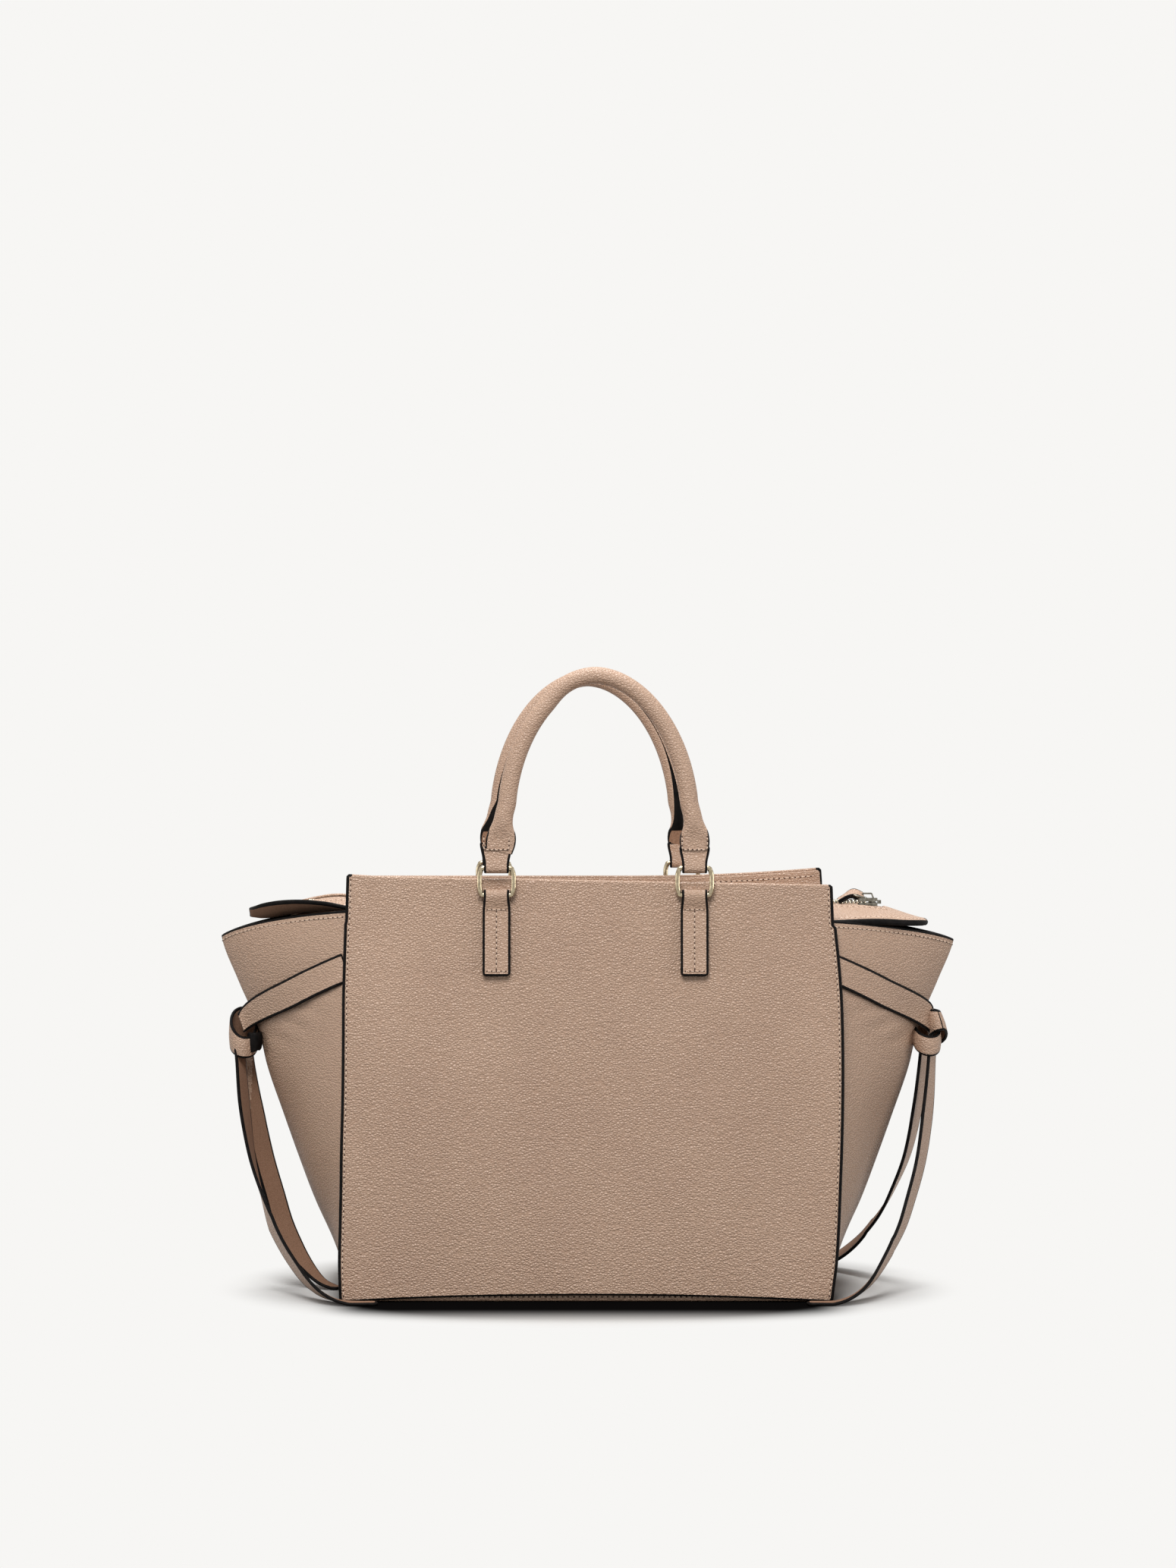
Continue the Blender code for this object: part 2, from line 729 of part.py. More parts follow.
def make_tongue(side):
    """A rounded end of the zip panel, slotted for the chain and bent down at its nose."""
    start = FLAP_HALF_LENGTH + GAP
    crest = flap_edge_height() + (TONGUE_THICK - FLAP_THICK) / 2 + TONGUE_CREST_LIFT

    def place(across, out):
        reach = lerp(start, TONGUE_TIP, out)
        round_off = (1 - out**TONGUE_TAPER) ** (1 / TONGUE_ROUND)
        half = lerp(TONGUE_NOSE_HALF, TONGUE_HALF_WIDTH, round_off)
        turn = 2 * across - 1
        nose = max(0, (reach - TONGUE_NOSE_START) / (TONGUE_TIP - TONGUE_NOSE_START))
        fall = TONGUE_NOSE_FALL * nose**TONGUE_FALL_POWER
        drop = TONGUE_DROP * min(1, TONGUE_ROOT_DROP_SHARE + out) * abs(turn) ** TONGUE_CROWN
        drop *= 1 - nose
        return Vector((side * reach, half * turn, crest - fall - drop))

    name = side_name(side) + "_zip_tongue"
    tongue = sheet(name, place, 10, 14, TONGUE_THICK)
    ends = sorted((side * (start - CUT_OVERRUN), side * TONGUE_SLOT_END))
    slot = box(
        name + "_slot_cut",
        (ends[0], -FLAP_EDGE, crest - TONGUE_THICK - CUT_OVERRUN),
        (ends[1], FLAP_EDGE, crest + TONGUE_THICK + CUT_OVERRUN),
    )
    keep(combine(tongue, slot, "DIFFERENCE"), leather)


def make_stops():
    """The stop that holds both rows of teeth at one end, and the two stops at the other."""
    root = TAPE_INNER - GAP
    low = ZIP_HEIGHT - TOOTH_HEIGHT / 2
    high = ZIP_HEIGHT + TOOTH_HEIGHT / 2
    end = -CHAIN_END - TOOTH_PITCH / 2
    keep(box("zip_bottom_stop", (end - STOP_LENGTH, -root, low), (end, root, high)), brass)
    near = SLIDER_REST + SLIDER_HALF_LENGTH + GAP
    far = near + STOP_LENGTH
    keep(box("front_zip_top_stop", (near, -root, low), (far, -TOOTH_NOSE, high)), brass)
    keep(box("rear_zip_top_stop", (near, TOOTH_NOSE, low), (far, root, high)), brass)


def make_slider():
    """The slider with its tape slots, wedge and bail, its ring, and its leather pull."""
    axis = pivot("zip_slider_axis", Vector((SLIDER_REST, 0, ZIP_HEIGHT)))
    half = SLIDER_HALF_LENGTH
    corners = [
        (-half, -SLIDER_TAIL_HALF, SLIDER_CORNER),
        (0, -SLIDER_TAIL_HALF, SLIDER_CORNER),
        (half / 2, -SLIDER_SHOULDER_HALF, SLIDER_CORNER),
        (half, -SLIDER_SHOULDER_HALF, SLIDER_CORNER),
        (half, SLIDER_SHOULDER_HALF, SLIDER_CORNER),
        (half / 2, SLIDER_SHOULDER_HALF, SLIDER_CORNER),
        (0, SLIDER_TAIL_HALF, SLIDER_CORNER),
        (-half, SLIDER_TAIL_HALF, SLIDER_CORNER),
    ]
    slider = as_mesh(outline("zip_slider", rounded(corners), SLIDER_HEIGHT))
    end = half + CUT_OVERRUN
    lane = SLIDER_CHANNEL_HALF
    mouth = [(-end, -lane), (0, -lane), (end, -SLIDER_MOUTH_HALF)]
    mouth += [(end, SLIDER_MOUTH_HALF), (0, lane), (-end, lane)]
    channel = as_mesh(outline("zip_slider_channel_cut", mouth, SLIDER_CHANNEL_HEIGHT))
    side = SLIDER_SHOULDER_HALF + CUT_OVERRUN
    slot_half = SLIDER_TAPE_SLOT / 2
    slot = box("zip_slider_slot_cut", (-end, -side, -slot_half), (end, side, slot_half))
    diamond = [
        (WEDGE_START, 0, WEDGE_HALF / 4),
        ((WEDGE_START + WEDGE_END) / 2, -WEDGE_HALF, WEDGE_HALF / 2),
        (WEDGE_END, -WEDGE_HALF, WEDGE_HALF / 4),
        (WEDGE_END, WEDGE_HALF, WEDGE_HALF / 4),
        ((WEDGE_START + WEDGE_END) / 2, WEDGE_HALF, WEDGE_HALF / 2),
    ]
    plate = (SLIDER_HEIGHT - SLIDER_CHANNEL_HEIGHT) / 2
    wedge = as_mesh(outline("zip_slider_wedge_join", rounded(diamond, 2), SLIDER_HEIGHT - plate))
    foot = SLIDER_HEIGHT / 2 - plate / 3
    top = SLIDER_HEIGHT / 2 + BAIL_RISE
    arch = [
        (BAIL_HALF_LENGTH, foot, 0),
        (BAIL_TOP_HALF, top, BAIL_WALL),
        (-BAIL_TOP_HALF, top, BAIL_WALL),
        (-BAIL_HALF_LENGTH, foot, 0),
    ]
    inner_low = BAIL_HALF_LENGTH - BAIL_WALL
    inner_high = BAIL_TOP_HALF - BAIL_WALL / 2
    window = [
        (-inner_low, foot),
        (-inner_high, top - BAIL_WALL),
        (inner_high, top - BAIL_WALL),
        (inner_low, foot),
    ]
    bail = as_mesh(outline("zip_slider_bail_join", rounded(arch) + window, BAIL_WIDTH))
    bail.rotation_euler.x = math.pi / 2
    for tool, operation in (
        (channel, "DIFFERENCE"),
        (slot, "DIFFERENCE"),
        (wedge, "UNION"),
        (bail, "UNION"),
    ):
        tool.location = axis.location
        combine(slider, tool, operation)
    slider.location = axis.location
    keep(slider, brass, axis)

    bar_rise = SLIDER_HEIGHT / 2 + (BAIL_RISE - BAIL_WALL) / 2
    bar = axis.location + Vector((-PULL_RING_SHIFT, 0, bar_rise))
    ring_axis = pivot("zip_pull_ring_axis", bar, axis)
    across = PULL_RING_HALF_WIDTH
    corners = [
        (-PULL_RING_LENGTH, -across, PULL_RING_CORNER),
        (0, -across, PULL_RING_CORNER),
        (0, across, PULL_RING_CORNER),
        (-PULL_RING_LENGTH, across, PULL_RING_CORNER),
    ]
    places = [bar + Vector((along, out, 0)) for along, out in rounded(corners)]
    keep(wire_ring("zip_pull_ring", places, PULL_WIRE), brass, ring_axis)

    far_bar = bar - Vector((PULL_RING_LENGTH, 0, 0))
    tab_axis = pivot("zip_pull_tab_axis", far_bar, ring_axis)
    hole = PULL_WIRE / 2 + GAP
    eye = hole + PULL_PLY
    root = PULL_TAB_ROOT_WIDTH / 2
    wide = PULL_TAB_END_WIDTH / 2
    near = -(hole + PULL_PLY / 2)
    corners = [
        (near, -root, 0),
        (near, root, 0),
        (-PULL_TAB_LENGTH / 2, wide, PULL_TAB_CORNER),
        (-PULL_TAB_LENGTH, wide, PULL_TAB_CORNER),
        (-PULL_TAB_LENGTH, -wide, PULL_TAB_CORNER),
        (-PULL_TAB_LENGTH / 2, -wide, PULL_TAB_CORNER),
    ]
    tab = as_mesh(outline("zip_pull_tab", rounded(corners), 2 * PULL_PLY))
    tab.location = far_bar
    along = Vector((0, 1, 0))
    loop = rod("zip_pull_tab_eye_join", far_bar, along, eye, PULL_TAB_ROOT_WIDTH, 16)
    bore = rod("zip_pull_tab_bore_cut", far_bar, along, hole, 2 * wide, 12)
    combine(tab, loop, "UNION")
    keep(combine(tab, bore, "DIFFERENCE"), leather, tab_axis)


def handle_shift(face):
    """How far a handle with its rings and tabs is sewn off the bag's middle."""
    return FRONT_HANDLE_SHIFT if face == FRONT else 0


def ring_bar(face):
    """A point on the lower bars of the rings, midway between them."""
    eye = RING_WIRE / 2 + GAP + TAB_PLY
    depth = face_depth(RING_BAR_HEIGHT) + GAP + eye
    return Vector((handle_shift(face), face * depth, RING_BAR_HEIGHT))


def make_tab(face, side, centre):
    """A stitched strap folded round a ring's lower bar, flat on the panel below it."""
    hole = RING_WIRE / 2 + GAP
    name = face_name(face) + "_" + side_name(side) + "_tab"
    high = centre.z - TAB_PLY
    points = rounded(rectangle(TAB_WIDTH / 2, TAB_LOW, high, TAB_CORNER))
    points = [(centre.x + across, height) for across, height in points]
    tab = as_mesh(lean_plate(name, points, 2 * TAB_PLY, -GAP - TAB_PLY, face))
    along = Vector((1, 0, 0))
    eye = rod(name + "_eye_join", centre, along, hole + TAB_PLY, TAB_WIDTH, 20)
    bore = rod(name + "_bore_cut", centre, along, hole, TAB_WIDTH + CUT_OVERRUN, 16)
    combine(tab, eye, "UNION")
    keep(combine(tab, bore, "DIFFERENCE"), leather)


def make_ring(face, side, centre, axis):
    """A rectangular wire ring with shouldered sides, upright on its lower bar."""
    shoulders = [
        (RING_BAR_HALF, 0),
        (RING_SIDE_HALF, RING_SHOULDER),
        (RING_SIDE_HALF, RING_HEIGHT - RING_SHOULDER),
        (RING_BAR_HALF, RING_HEIGHT),
    ]
    corners = [(across, up, RING_CORNER) for across, up in shoulders]
    corners += [(-across, up, RING_CORNER) for across, up in reversed(shoulders)]
    places = [centre + Vector((across, 0, up)) for across, up in rounded(corners, 1)]
    name = face_name(face) + "_" + side_name(side) + "_ring"
    keep(wire_ring(name, places, RING_WIRE), brass, axis)


def handle_stations():
    """Stations of the right half of a handle, from the ring to the crown, about its middle."""
    bar = RING_BAR_HEIGHT + RING_HEIGHT
    eye = RING_WIRE / 2 + GAP + HANDLE_PLY / 2
    spread = RING_SPACING / 2
    leg = HANDLE_LEG_DIAMETER / 2
    flat = HANDLE_PLY
    legs = [
        (spread, bar + eye, HANDLE_END_WIDTH / 2, flat, 8),
        (spread, bar + HANDLE_FLARE_RISE / 2, lerp(HANDLE_END_WIDTH, HANDLE_FLARE_WIDTH, 0.5) / 2, flat, 8),
        (spread, bar + HANDLE_FLARE_RISE, HANDLE_FLARE_WIDTH / 2, flat, 6),
        (
            lerp(spread, HANDLE_ARCH_HALF, 0.7),
            lerp(bar + HANDLE_FLARE_RISE, HANDLE_ARCH_BASE, 0.5),
            lerp(HANDLE_FLARE_WIDTH / 2, leg, 0.6),
            lerp(flat, leg, 0.6),
            3,
        ),
    ]
    rise = HANDLE_CROWN_HEIGHT - HANDLE_ARCH_BASE
    turns = 12
    for step in range(turns + 1):
        turn = math.pi / 2 * step / turns
        across = HANDLE_ARCH_HALF * math.cos(turn) ** HANDLE_ARCH_NARROWING
        radius = lerp(leg, HANDLE_CROWN_DIAMETER / 2, step / turns)
        legs.append((across, HANDLE_ARCH_BASE + rise * math.sin(turn), radius, radius, 2))
    return legs


def make_handle(face, bar, axis):
    """A rolled handle whose flat ends are folded round the rings' upper bars."""
    half = handle_stations()
    other = [(-across, height, wide, thick, power) for across, height, wide, thick, power in half]
    stations = half + other[-2::-1]
    rings = []
    for place, (across, height, wide, thick, power) in enumerate(stations):
        before = stations[max(place - 1, 0)]
        after = stations[min(place + 1, len(stations) - 1)]
        along = Vector((after[0] - before[0], 0, after[1] - before[1])).normalized()
        if place in (0, len(stations) - 1):
            along = Vector((0, 0, 1 if place == 0 else -1))
        outward = along.cross(Vector((0, 1, 0)))
        centre = Vector((bar.x + across, bar.y, height))
        shape = section(wide, thick, power, 12)
        rings.append([centre + outward * a + Vector((0, b, 0)) for a, b in shape])
    name = face_name(face) + "_handle"
    handle = loft(name, rings)
    hole = RING_WIRE / 2 + GAP
    along = Vector((1, 0, 0))
    for side in (LEFT, RIGHT):
        centre = Vector((bar.x + side * RING_SPACING / 2, bar.y, bar.z))
        tag = name + "_" + side_name(side)
        eye = rod(tag + "_eye_join", centre, along, hole + HANDLE_PLY, HANDLE_END_WIDTH, 20)
        combine(handle, eye, "UNION")
        bore = rod(tag + "_bore_cut", centre, along, hole, HANDLE_END_WIDTH + CUT_OVERRUN, 16)
        combine(handle, bore, "DIFFERENCE")
    keep(handle, leather, axis)


def make_carrying(face):
    """Tabs, rings and handle of one face."""
    lower = ring_bar(face)
    rings_axis = pivot(face_name(face) + "_rings_axis", lower)
    for side in (LEFT, RIGHT):
        centre = lower + Vector((side * RING_SPACING / 2, 0, 0))
        make_tab(face, side, centre)
        make_ring(face, side, centre, rings_axis)
    upper = lower + Vector((0, 0, RING_HEIGHT))
    make_handle(face, upper, pivot(face_name(face) + "_handle_axis", upper, rings_axis))


def tie_band_keys(face, side):
    """Keys of the stretch of a tie that lies on the wing, from the seam to the fold."""
    contact = GUSSET_THICK / 2 + GAP + TIE_THICK / 2
    keys = []
    steps = 7
    for step in range(steps + 1):
        share = step / steps
        standoff = contact + TIE_STANDOFF * math.sqrt(share)
        turn = face * lerp(TIE_START_TURN, TIE_END_TURN, share)
        height = lerp(TIE_SEAM_HEIGHT, TIE_FOLD_HEIGHT, share)
        centre = wing_point(side, turn, height, -standoff)
        above = wing_point(side, turn, height + TIE_WIDTH / 4, -standoff)
        below = wing_point(side, turn, height - TIE_WIDTH / 4, -standoff)
        width = lerp(TIE_WIDTH, TIE_GATHERED_WIDTH, max(0, 2 * share - 1))
        keys.append((centre, (above - below).normalized(), width, TIE_THICK))
    return keys


def tie_knot_keys(face, side):
    """Keys of a tie inside the knot, where the front tie passes outside the rear one."""
    outer = face == FRONT
    layer = KNOT_HALF_LENGTH - KNOT_BAND_THICK if outer else -KNOT_HALF_LENGTH / 4
    inner = face * (KNOT_STRAP_WIDTH + TIE_THICK) / 2
    above = KNOT_HEIGHT + KNOT_BAND_HEIGHT * KNOT_ENTRY_SHARE
    entry = Vector((side * (KNOT_REACH + layer / 2), inner, above))
    centre = Vector((side * (KNOT_REACH + layer), inner, KNOT_HEIGHT))
    turning = Vector((0, -face, 1)).normalized()
    sideways = Vector((0, -face, 0))
    return [(entry, turning, KNOT_STRAP_WIDTH, TIE_THICK), (centre, sideways, KNOT_STRAP_WIDTH, TIE_THICK)]


def tie_tail_keys(face, side):
    """Keys of a tail, which hangs from the knot and runs down to the bag's corner or its wing's foot."""
    floor = GAP + TIE_THICK / 2
    across = Vector((0, -face, 0))
    inner = (KNOT_STRAP_WIDTH + TIE_THICK) / 2
    top = Vector((side * (KNOT_REACH - TIE_THICK), face * inner, TAIL_TOP_HEIGHT))
    keys = [(top, across, KNOT_STRAP_WIDTH, TIE_THICK)]
    beside = face == REAR and side == LEFT
    shares = TAIL_BESIDE_SHARES if beside else TAIL_SHARES
    count = len(shares)
    for place, (high, out, forward) in enumerate(shares):
        height = lerp(floor, TAIL_TOP_HEIGHT, high)
        inset = 0
        if face == REAR and not beside:
            inset = TAIL_REAR_INSET * math.sin(math.pi * (place + 1) / count)
        reach = lerp(TAIL_TIP_REACH, KNOT_REACH, out) - inset
        centre = Vector((side * reach, face * lerp(inner, TAIL_FORWARD, forward), height))
        width = lerp(KNOT_STRAP_WIDTH, TIE_WIDTH, min(1, (place + 1) / 3))
        keys.append((centre, across, width, TIE_THICK))
    return keys


def make_tie(face, side):
    """A flat tie from its seam over the wing, through the knot and down to the floor."""
    name = face_name(face) + "_" + side_name(side) + "_tie"
    keys = tie_band_keys(face, side) + tie_knot_keys(face, side) + tie_tail_keys(face, side)
    tie = strap(name, keys, 2)
    if face == FRONT:
        turns = 12
        band = []
        for step in range(turns):
            turn = 2 * math.pi * step / turns
            out = KNOT_HALF_LENGTH * math.cos(turn)
            back = KNOT_HALF_WIDTH * math.sin(turn)
            tilt = KNOT_TILT * math.sin(turn)
            centre = Vector((side * (KNOT_REACH + out), back, KNOT_HEIGHT + tilt))
            band.append((centre, Vector((0, 0, 1)), KNOT_BAND_HEIGHT, KNOT_BAND_THICK))
        combine(tie, strap(name + "_knot_join", band, 2, closed=True), "UNION")
    keep(tie, leather)


clear_scene()
parts = new_collection("tote_bag")
cutters = new_collection("tote_bag_cutters")
leather = finish("pebbled_leather", "b0937f", 0.55)
lining = finish("woven_lining", "8c7665", 0.85)
tape = finish("zip_tape", "6b5648", 0.9)
brass = finish("pale_brass", "d8c08a", 0.25, 1.0)
gunmetal = finish("zip_teeth_metal", "6f6a64", 0.35, 1.0)
fibreboard = finish("base_fibreboard", "7a6a58", 0.9)

make_panels()
make_base()
for wing in (LEFT, RIGHT):
    make_gusset(wing)
    make_tongue(wing)
    make_tie(FRONT, wing)
    make_tie(REAR, wing)
for bag_face in (FRONT, REAR):
    make_zip_half(bag_face)
    make_carrying(bag_face)
make_stops()
make_slider()
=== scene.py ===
"""Dress the tote bag: pebbled leather, painted edges, saddle stitches, linings, zip and metal.

Every surface is a grid of points worked out with numpy in the bag's own frame: metres, +Z up,
the front panel facing -Y, the origin on the floor under the middle of the bag. Forms that have
no simple law are smooth curves through listed keys.
"""

import logging
import math
from dataclasses import dataclass, field
from enum import Enum, IntEnum
from functools import partial
from typing import Callable

import bpy
import numpy as np
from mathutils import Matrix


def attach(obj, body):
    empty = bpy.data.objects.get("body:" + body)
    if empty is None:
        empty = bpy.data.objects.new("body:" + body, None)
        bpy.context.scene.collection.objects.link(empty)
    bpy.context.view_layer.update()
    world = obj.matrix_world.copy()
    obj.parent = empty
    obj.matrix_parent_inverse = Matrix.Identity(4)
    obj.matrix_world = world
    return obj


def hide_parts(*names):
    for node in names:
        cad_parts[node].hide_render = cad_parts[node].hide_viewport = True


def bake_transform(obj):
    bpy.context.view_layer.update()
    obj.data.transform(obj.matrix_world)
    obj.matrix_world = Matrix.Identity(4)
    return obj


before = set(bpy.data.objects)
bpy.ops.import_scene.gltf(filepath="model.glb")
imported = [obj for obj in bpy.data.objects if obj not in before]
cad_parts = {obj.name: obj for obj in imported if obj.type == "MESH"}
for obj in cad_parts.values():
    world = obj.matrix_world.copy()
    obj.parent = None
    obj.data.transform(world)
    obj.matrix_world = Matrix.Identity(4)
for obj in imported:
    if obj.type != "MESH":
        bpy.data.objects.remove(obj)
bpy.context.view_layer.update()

LOG = logging.getLogger("tote_bag")
Array = np.ndarray
Socket = bpy.types.NodeSocket
Colour = tuple[float, float, float, float]
Tones = tuple[tuple[float, str], ...]
Triple = tuple[float, float, float]


class Face(Enum):
    """The two broad faces of the bag, by the sign of Y."""

    FRONT = -1
    REAR = 1

    @property
    def word(self) -> str:
        """The face's word in a piece's name."""
        return self.name.lower()


class Side(Enum):
    """The two ends of the bag, by the sign of X."""

    LEFT = -1
    RIGHT = 1

    @property
    def word(self) -> str:
        """The end's word in a piece's name."""
        return self.name.lower()


class Mark(IntEnum):
    """Which finish of its cover a face takes; cloth and metal have the first alone."""

    GRAIN = 0
    PAINT = 1
    FLESH = 2
    THREAD = 3
    HOLE = 4


# Marks of a sheet's outer face, edge and inner face
PAINTED = (Mark.GRAIN, Mark.PAINT, Mark.FLESH)
LINED = (Mark.GRAIN, Mark.PAINT, Mark.GRAIN)
PLAIN = (Mark.GRAIN, Mark.GRAIN, Mark.GRAIN)
EDGE_STEPS = 4
STITCH_WIDTH = 0.00046
STITCH_SIDES = 6
# Places along a stitch, and its width there as a share of the widest
STITCH_PLACES = (-0.5, -0.36, 0.0, 0.36, 0.5)
STITCH_SWELL = (0.4, 0.86, 1.0, 0.86, 0.4)


# ---------------------------------------------------------------- sums on arrays


def lerp(start: Array | float, end: Array | float, share: Array | float) -> Array | float:
    """The value a share of the way from start to end."""
    return start + (end - start) * share


def ease(share: Array) -> Array:
    """A share with a soft start and end: three squares less two cubes, held in 0 to 1."""
    held = np.clip(share, 0, 1)
    return held * held * (3 - 2 * held)


def unit(vectors: Array) -> Array:
    """Vectors divided by their lengths."""
    return vectors / np.maximum(np.linalg.norm(vectors, axis=-1, keepdims=True), 1e-12)


def spots(x: Array | float, y: Array | float, z: Array | float) -> Array:
    """Points from three coordinates, each an array or a number, joined on a new last axis."""
    return np.stack(np.broadcast_arrays(x, y, z), axis=-1)


def squared_circle(turn: Array, power: Array | float) -> tuple[Array, Array]:
    """Cosine and sine of a turn, each raised to a power below one with its sign kept."""
    return tuple(np.sign(way) * np.abs(way) ** power for way in (np.cos(turn), np.sin(turn)))


def catmull(keys: Array, at: Array) -> Array:
    """Smooth values between equally spaced keys.

    The formula is the cubic through two keys whose slope at each is half the step from the key
    before it to the key after it.

    Args:
        keys: One row of values per key.
        at: Places, counted in keys.

    Returns:
        One row of values per place.
    """
    last = len(keys) - 1
    low = np.clip(at.astype(int), 0, last - 1)
    share = (at - low)[:, None]
    before, start, end, after = (keys[np.clip(low + step, 0, last)] for step in (-1, 0, 1, 2))
    rise, fall = (end - before) / 2, (after - start) / 2
    square, cube = share**2, share**3
    curve = start * (2 * cube - 3 * square + 1) + end * (3 * square - 2 * cube)
    return curve + rise * (cube - 2 * square + share) + fall * (cube - square)


def curves(keys: tuple, place: Array) -> Array:
    """Several smooth curves in millimetres through the same places.

    Args:
        keys: One row of millimetres per key, equally spaced from 0 to 1.
        place: Places from 0 to 1, in any shape.

    Returns:
        Metres, one array of the places' shape per column of keys.
    """
    at = np.clip(place, 0, 1).reshape(-1) * (len(keys) - 1)
    return catmull(np.array(keys), at).T.reshape(-1, *place.shape) / 1000


def spaced(count: int, *margins: float) -> Array:
    """Shares from 0 to 1 in even steps, with extra ones near both ends.

    Args:
        count: How many even steps there are.
        margins: Distances from both ends, rising; the even steps start at the last.

    Returns:
        The shares, rising.
    """
    even = np.linspace(margins[-1], 1 - margins[-1], count)
    near = np.array([0.0, *margins[:-1]])
    return np.concatenate([near, even, 1 - near[::-1]])


STRAP_SHARES = spaced(9, 0.05, 0.12)


def along(path: Array) -> Array:
    """Distance of each point of a path from its start."""
    return np.concatenate([[0], np.cumsum(np.linalg.norm(np.diff(path, axis=0), axis=1))])


def resample(rows: Array, places: Array, reach: Array | None = None) -> Array:
    """Rows of values at the given distances along a path, joined by straight lines.

    Args:
        rows: One row of values per point; the path's own points where reach is left out.
        places: Distances along the path.
        reach: Distance of each row.

    Returns:
        One row of values per distance.
    """
    known = along(rows) if reach is None else reach
    return np.stack([np.interp(places, known, column) for column in rows.T], axis=1)


def grid_faces(rows: int, cols: int, wrap_rows: bool = False, wrap_cols: bool = False) -> Array:
    """Corner numbers of the quads of a grid, counted row by row.

    Args:
        rows: Rows of points.
        cols: Points in a row.
        wrap_rows: Whether the last row joins the first.
        wrap_cols: Whether the last column joins the first.

    Returns:
        Four corner numbers per quad, turning from the columns' way to the rows' way.
    """
    counts = np.arange(rows - 1 + wrap_rows), np.arange(cols - 1 + wrap_cols)
    row, col = np.meshgrid(*counts, indexing="ij")
    near, far, right = row * cols, (row + 1) % rows * cols, (col + 1) % cols
    corners = (near + col, near + right, far + right, far + col)
    return np.stack(corners, axis=-1).reshape(-1, 4)


def grid_normals(grid: Array) -> Array:
    """Unit normals of a grid: the columns' direction crossed with the rows' direction."""
    return unit(np.cross(np.gradient(grid, axis=1), np.gradient(grid, axis=0)))


def sweep(path: Array, across: Array, width: Array, shares: Array) -> Array:
    """A strap's middle surface: each path point moved along its width direction.

    Args:
        path: Points of the strap's centre line.
        across: Unit width directions, one per point or one for all.
        width: Widths, one per point.
        shares: Places across the width, 0 to 1.

    Returns:
        A grid, path points by shares.
    """
    offset = (shares[None, :, None] - 0.5) * width[:, None, None]
    return path[:, None, :] + offset * np.broadcast_to(across, path.shape)[:, None, :]


def rounded_end(places: Array, total: float, radius: float) -> Array:
    """How much each side of a strip draws in near its ends, as a quarter circle."""
    near = np.clip(radius - np.minimum(places, total - places), 0, radius)
    return radius - np.sqrt(np.maximum(radius**2 - near**2, 0))


def ring_tube(centre: Array, up: Array, section: tuple[Array, Array]) -> Array:
    """The skin of a closed wire.

    Args:
        centre: Points of the wire's centre line, the last next to the first.
        up: The direction that the wire's plane faces.
        section: Offsets of the wire's outline in its plane and along up.

    Returns:
        A grid, one ring per point.
    """
    ahead = unit(np.roll(centre, -1, axis=0) - np.roll(centre, 1, axis=0))
    flat, high = section
    return centre[:, None] + np.cross(up, ahead)[:, None] * flat[:, None] + up * high[:, None]


# ---------------------------------------------------------------- finishes


def linear(code: str) -> Colour:
    """Linear colour of a six digit sRGB code, opaque.

    Args:
        code: Red, green and blue, two hexadecimal digits each.

    Returns:
        The colour as a shader takes it.
    """
    parts = [int(code[place : place + 2], 16) / 255 for place in (0, 2, 4)]
    red, green, blue = (c / 12.92 if c <= 0.04045 else ((c + 0.055) / 1.055) ** 2.4 for c in parts)
    return red, green, blue, 1.0


@dataclass(frozen=True)
class Nodes:
    """A node tree that is being filled, and its main shader."""

    tree: bpy.types.NodeTree
    shader: bpy.types.Node

    def add(
        self, kind: str, settings: dict | None = None, links: dict | None = None, out: int | str = 0
    ) -> Socket:
        """Add a node with its settings and links.

        Args:
            kind: Blender's name for the node's type, less the word ShaderNode.
            settings: Property names, or input names or numbers, and their values.
            links: Input names or numbers, and the sockets that feed them.
            out: Name or number of the wanted output.

        Returns:
            The wanted output.
        """
        made = self.tree.nodes.new(f"ShaderNode{kind}")
        for name, value in (settings or {}).items():
            if hasattr(made, str(name)):
                setattr(made, name, value)
            else:
                made.inputs[name].default_value = value
        for name, source in (links or {}).items():
            self.tree.links.new(source, made.inputs[name])
        return made.outputs[out]

    def feed(self, name: str, source: Socket) -> None:
        """Link a socket to one of the main shader's inputs."""
        self.tree.links.new(source, self.shader.inputs[name])

    def ramp(self, source: Socket, stops: Tones) -> Socket:
        """A colour ramp fed by a socket.

        Args:
            source: The socket that picks the place on the ramp.
            stops: Places and their sRGB codes.

        Returns:
            The socket with the colour.
        """
        colour = self.add("ValToRGB", links={"Fac": source}, out="Color")
        band = colour.node.color_ramp
        while len(band.elements) < len(stops):
            band.elements.new(0.5)
        for element, (place, code) in zip(band.elements, stops):
            element.position, element.color = place, linear(code)
        return colour

    def seen(self) -> Socket:
        """One for camera, glossy and transmission rays, nought for bounced light.

        Returns:
            The socket.
        """
        path = self.add("LightPath").node.outputs
        kinds = [path[f"Is {kind} Ray"] for kind in ("Glossy", "Transmission", "Camera")]
        largest = {"operation": "MAXIMUM"}
        gloss = self.add("Math", largest, {0: kinds[0], 1: kinds[1]})
        return self.add("Math", largest, {0: kinds[2], 1: gloss})


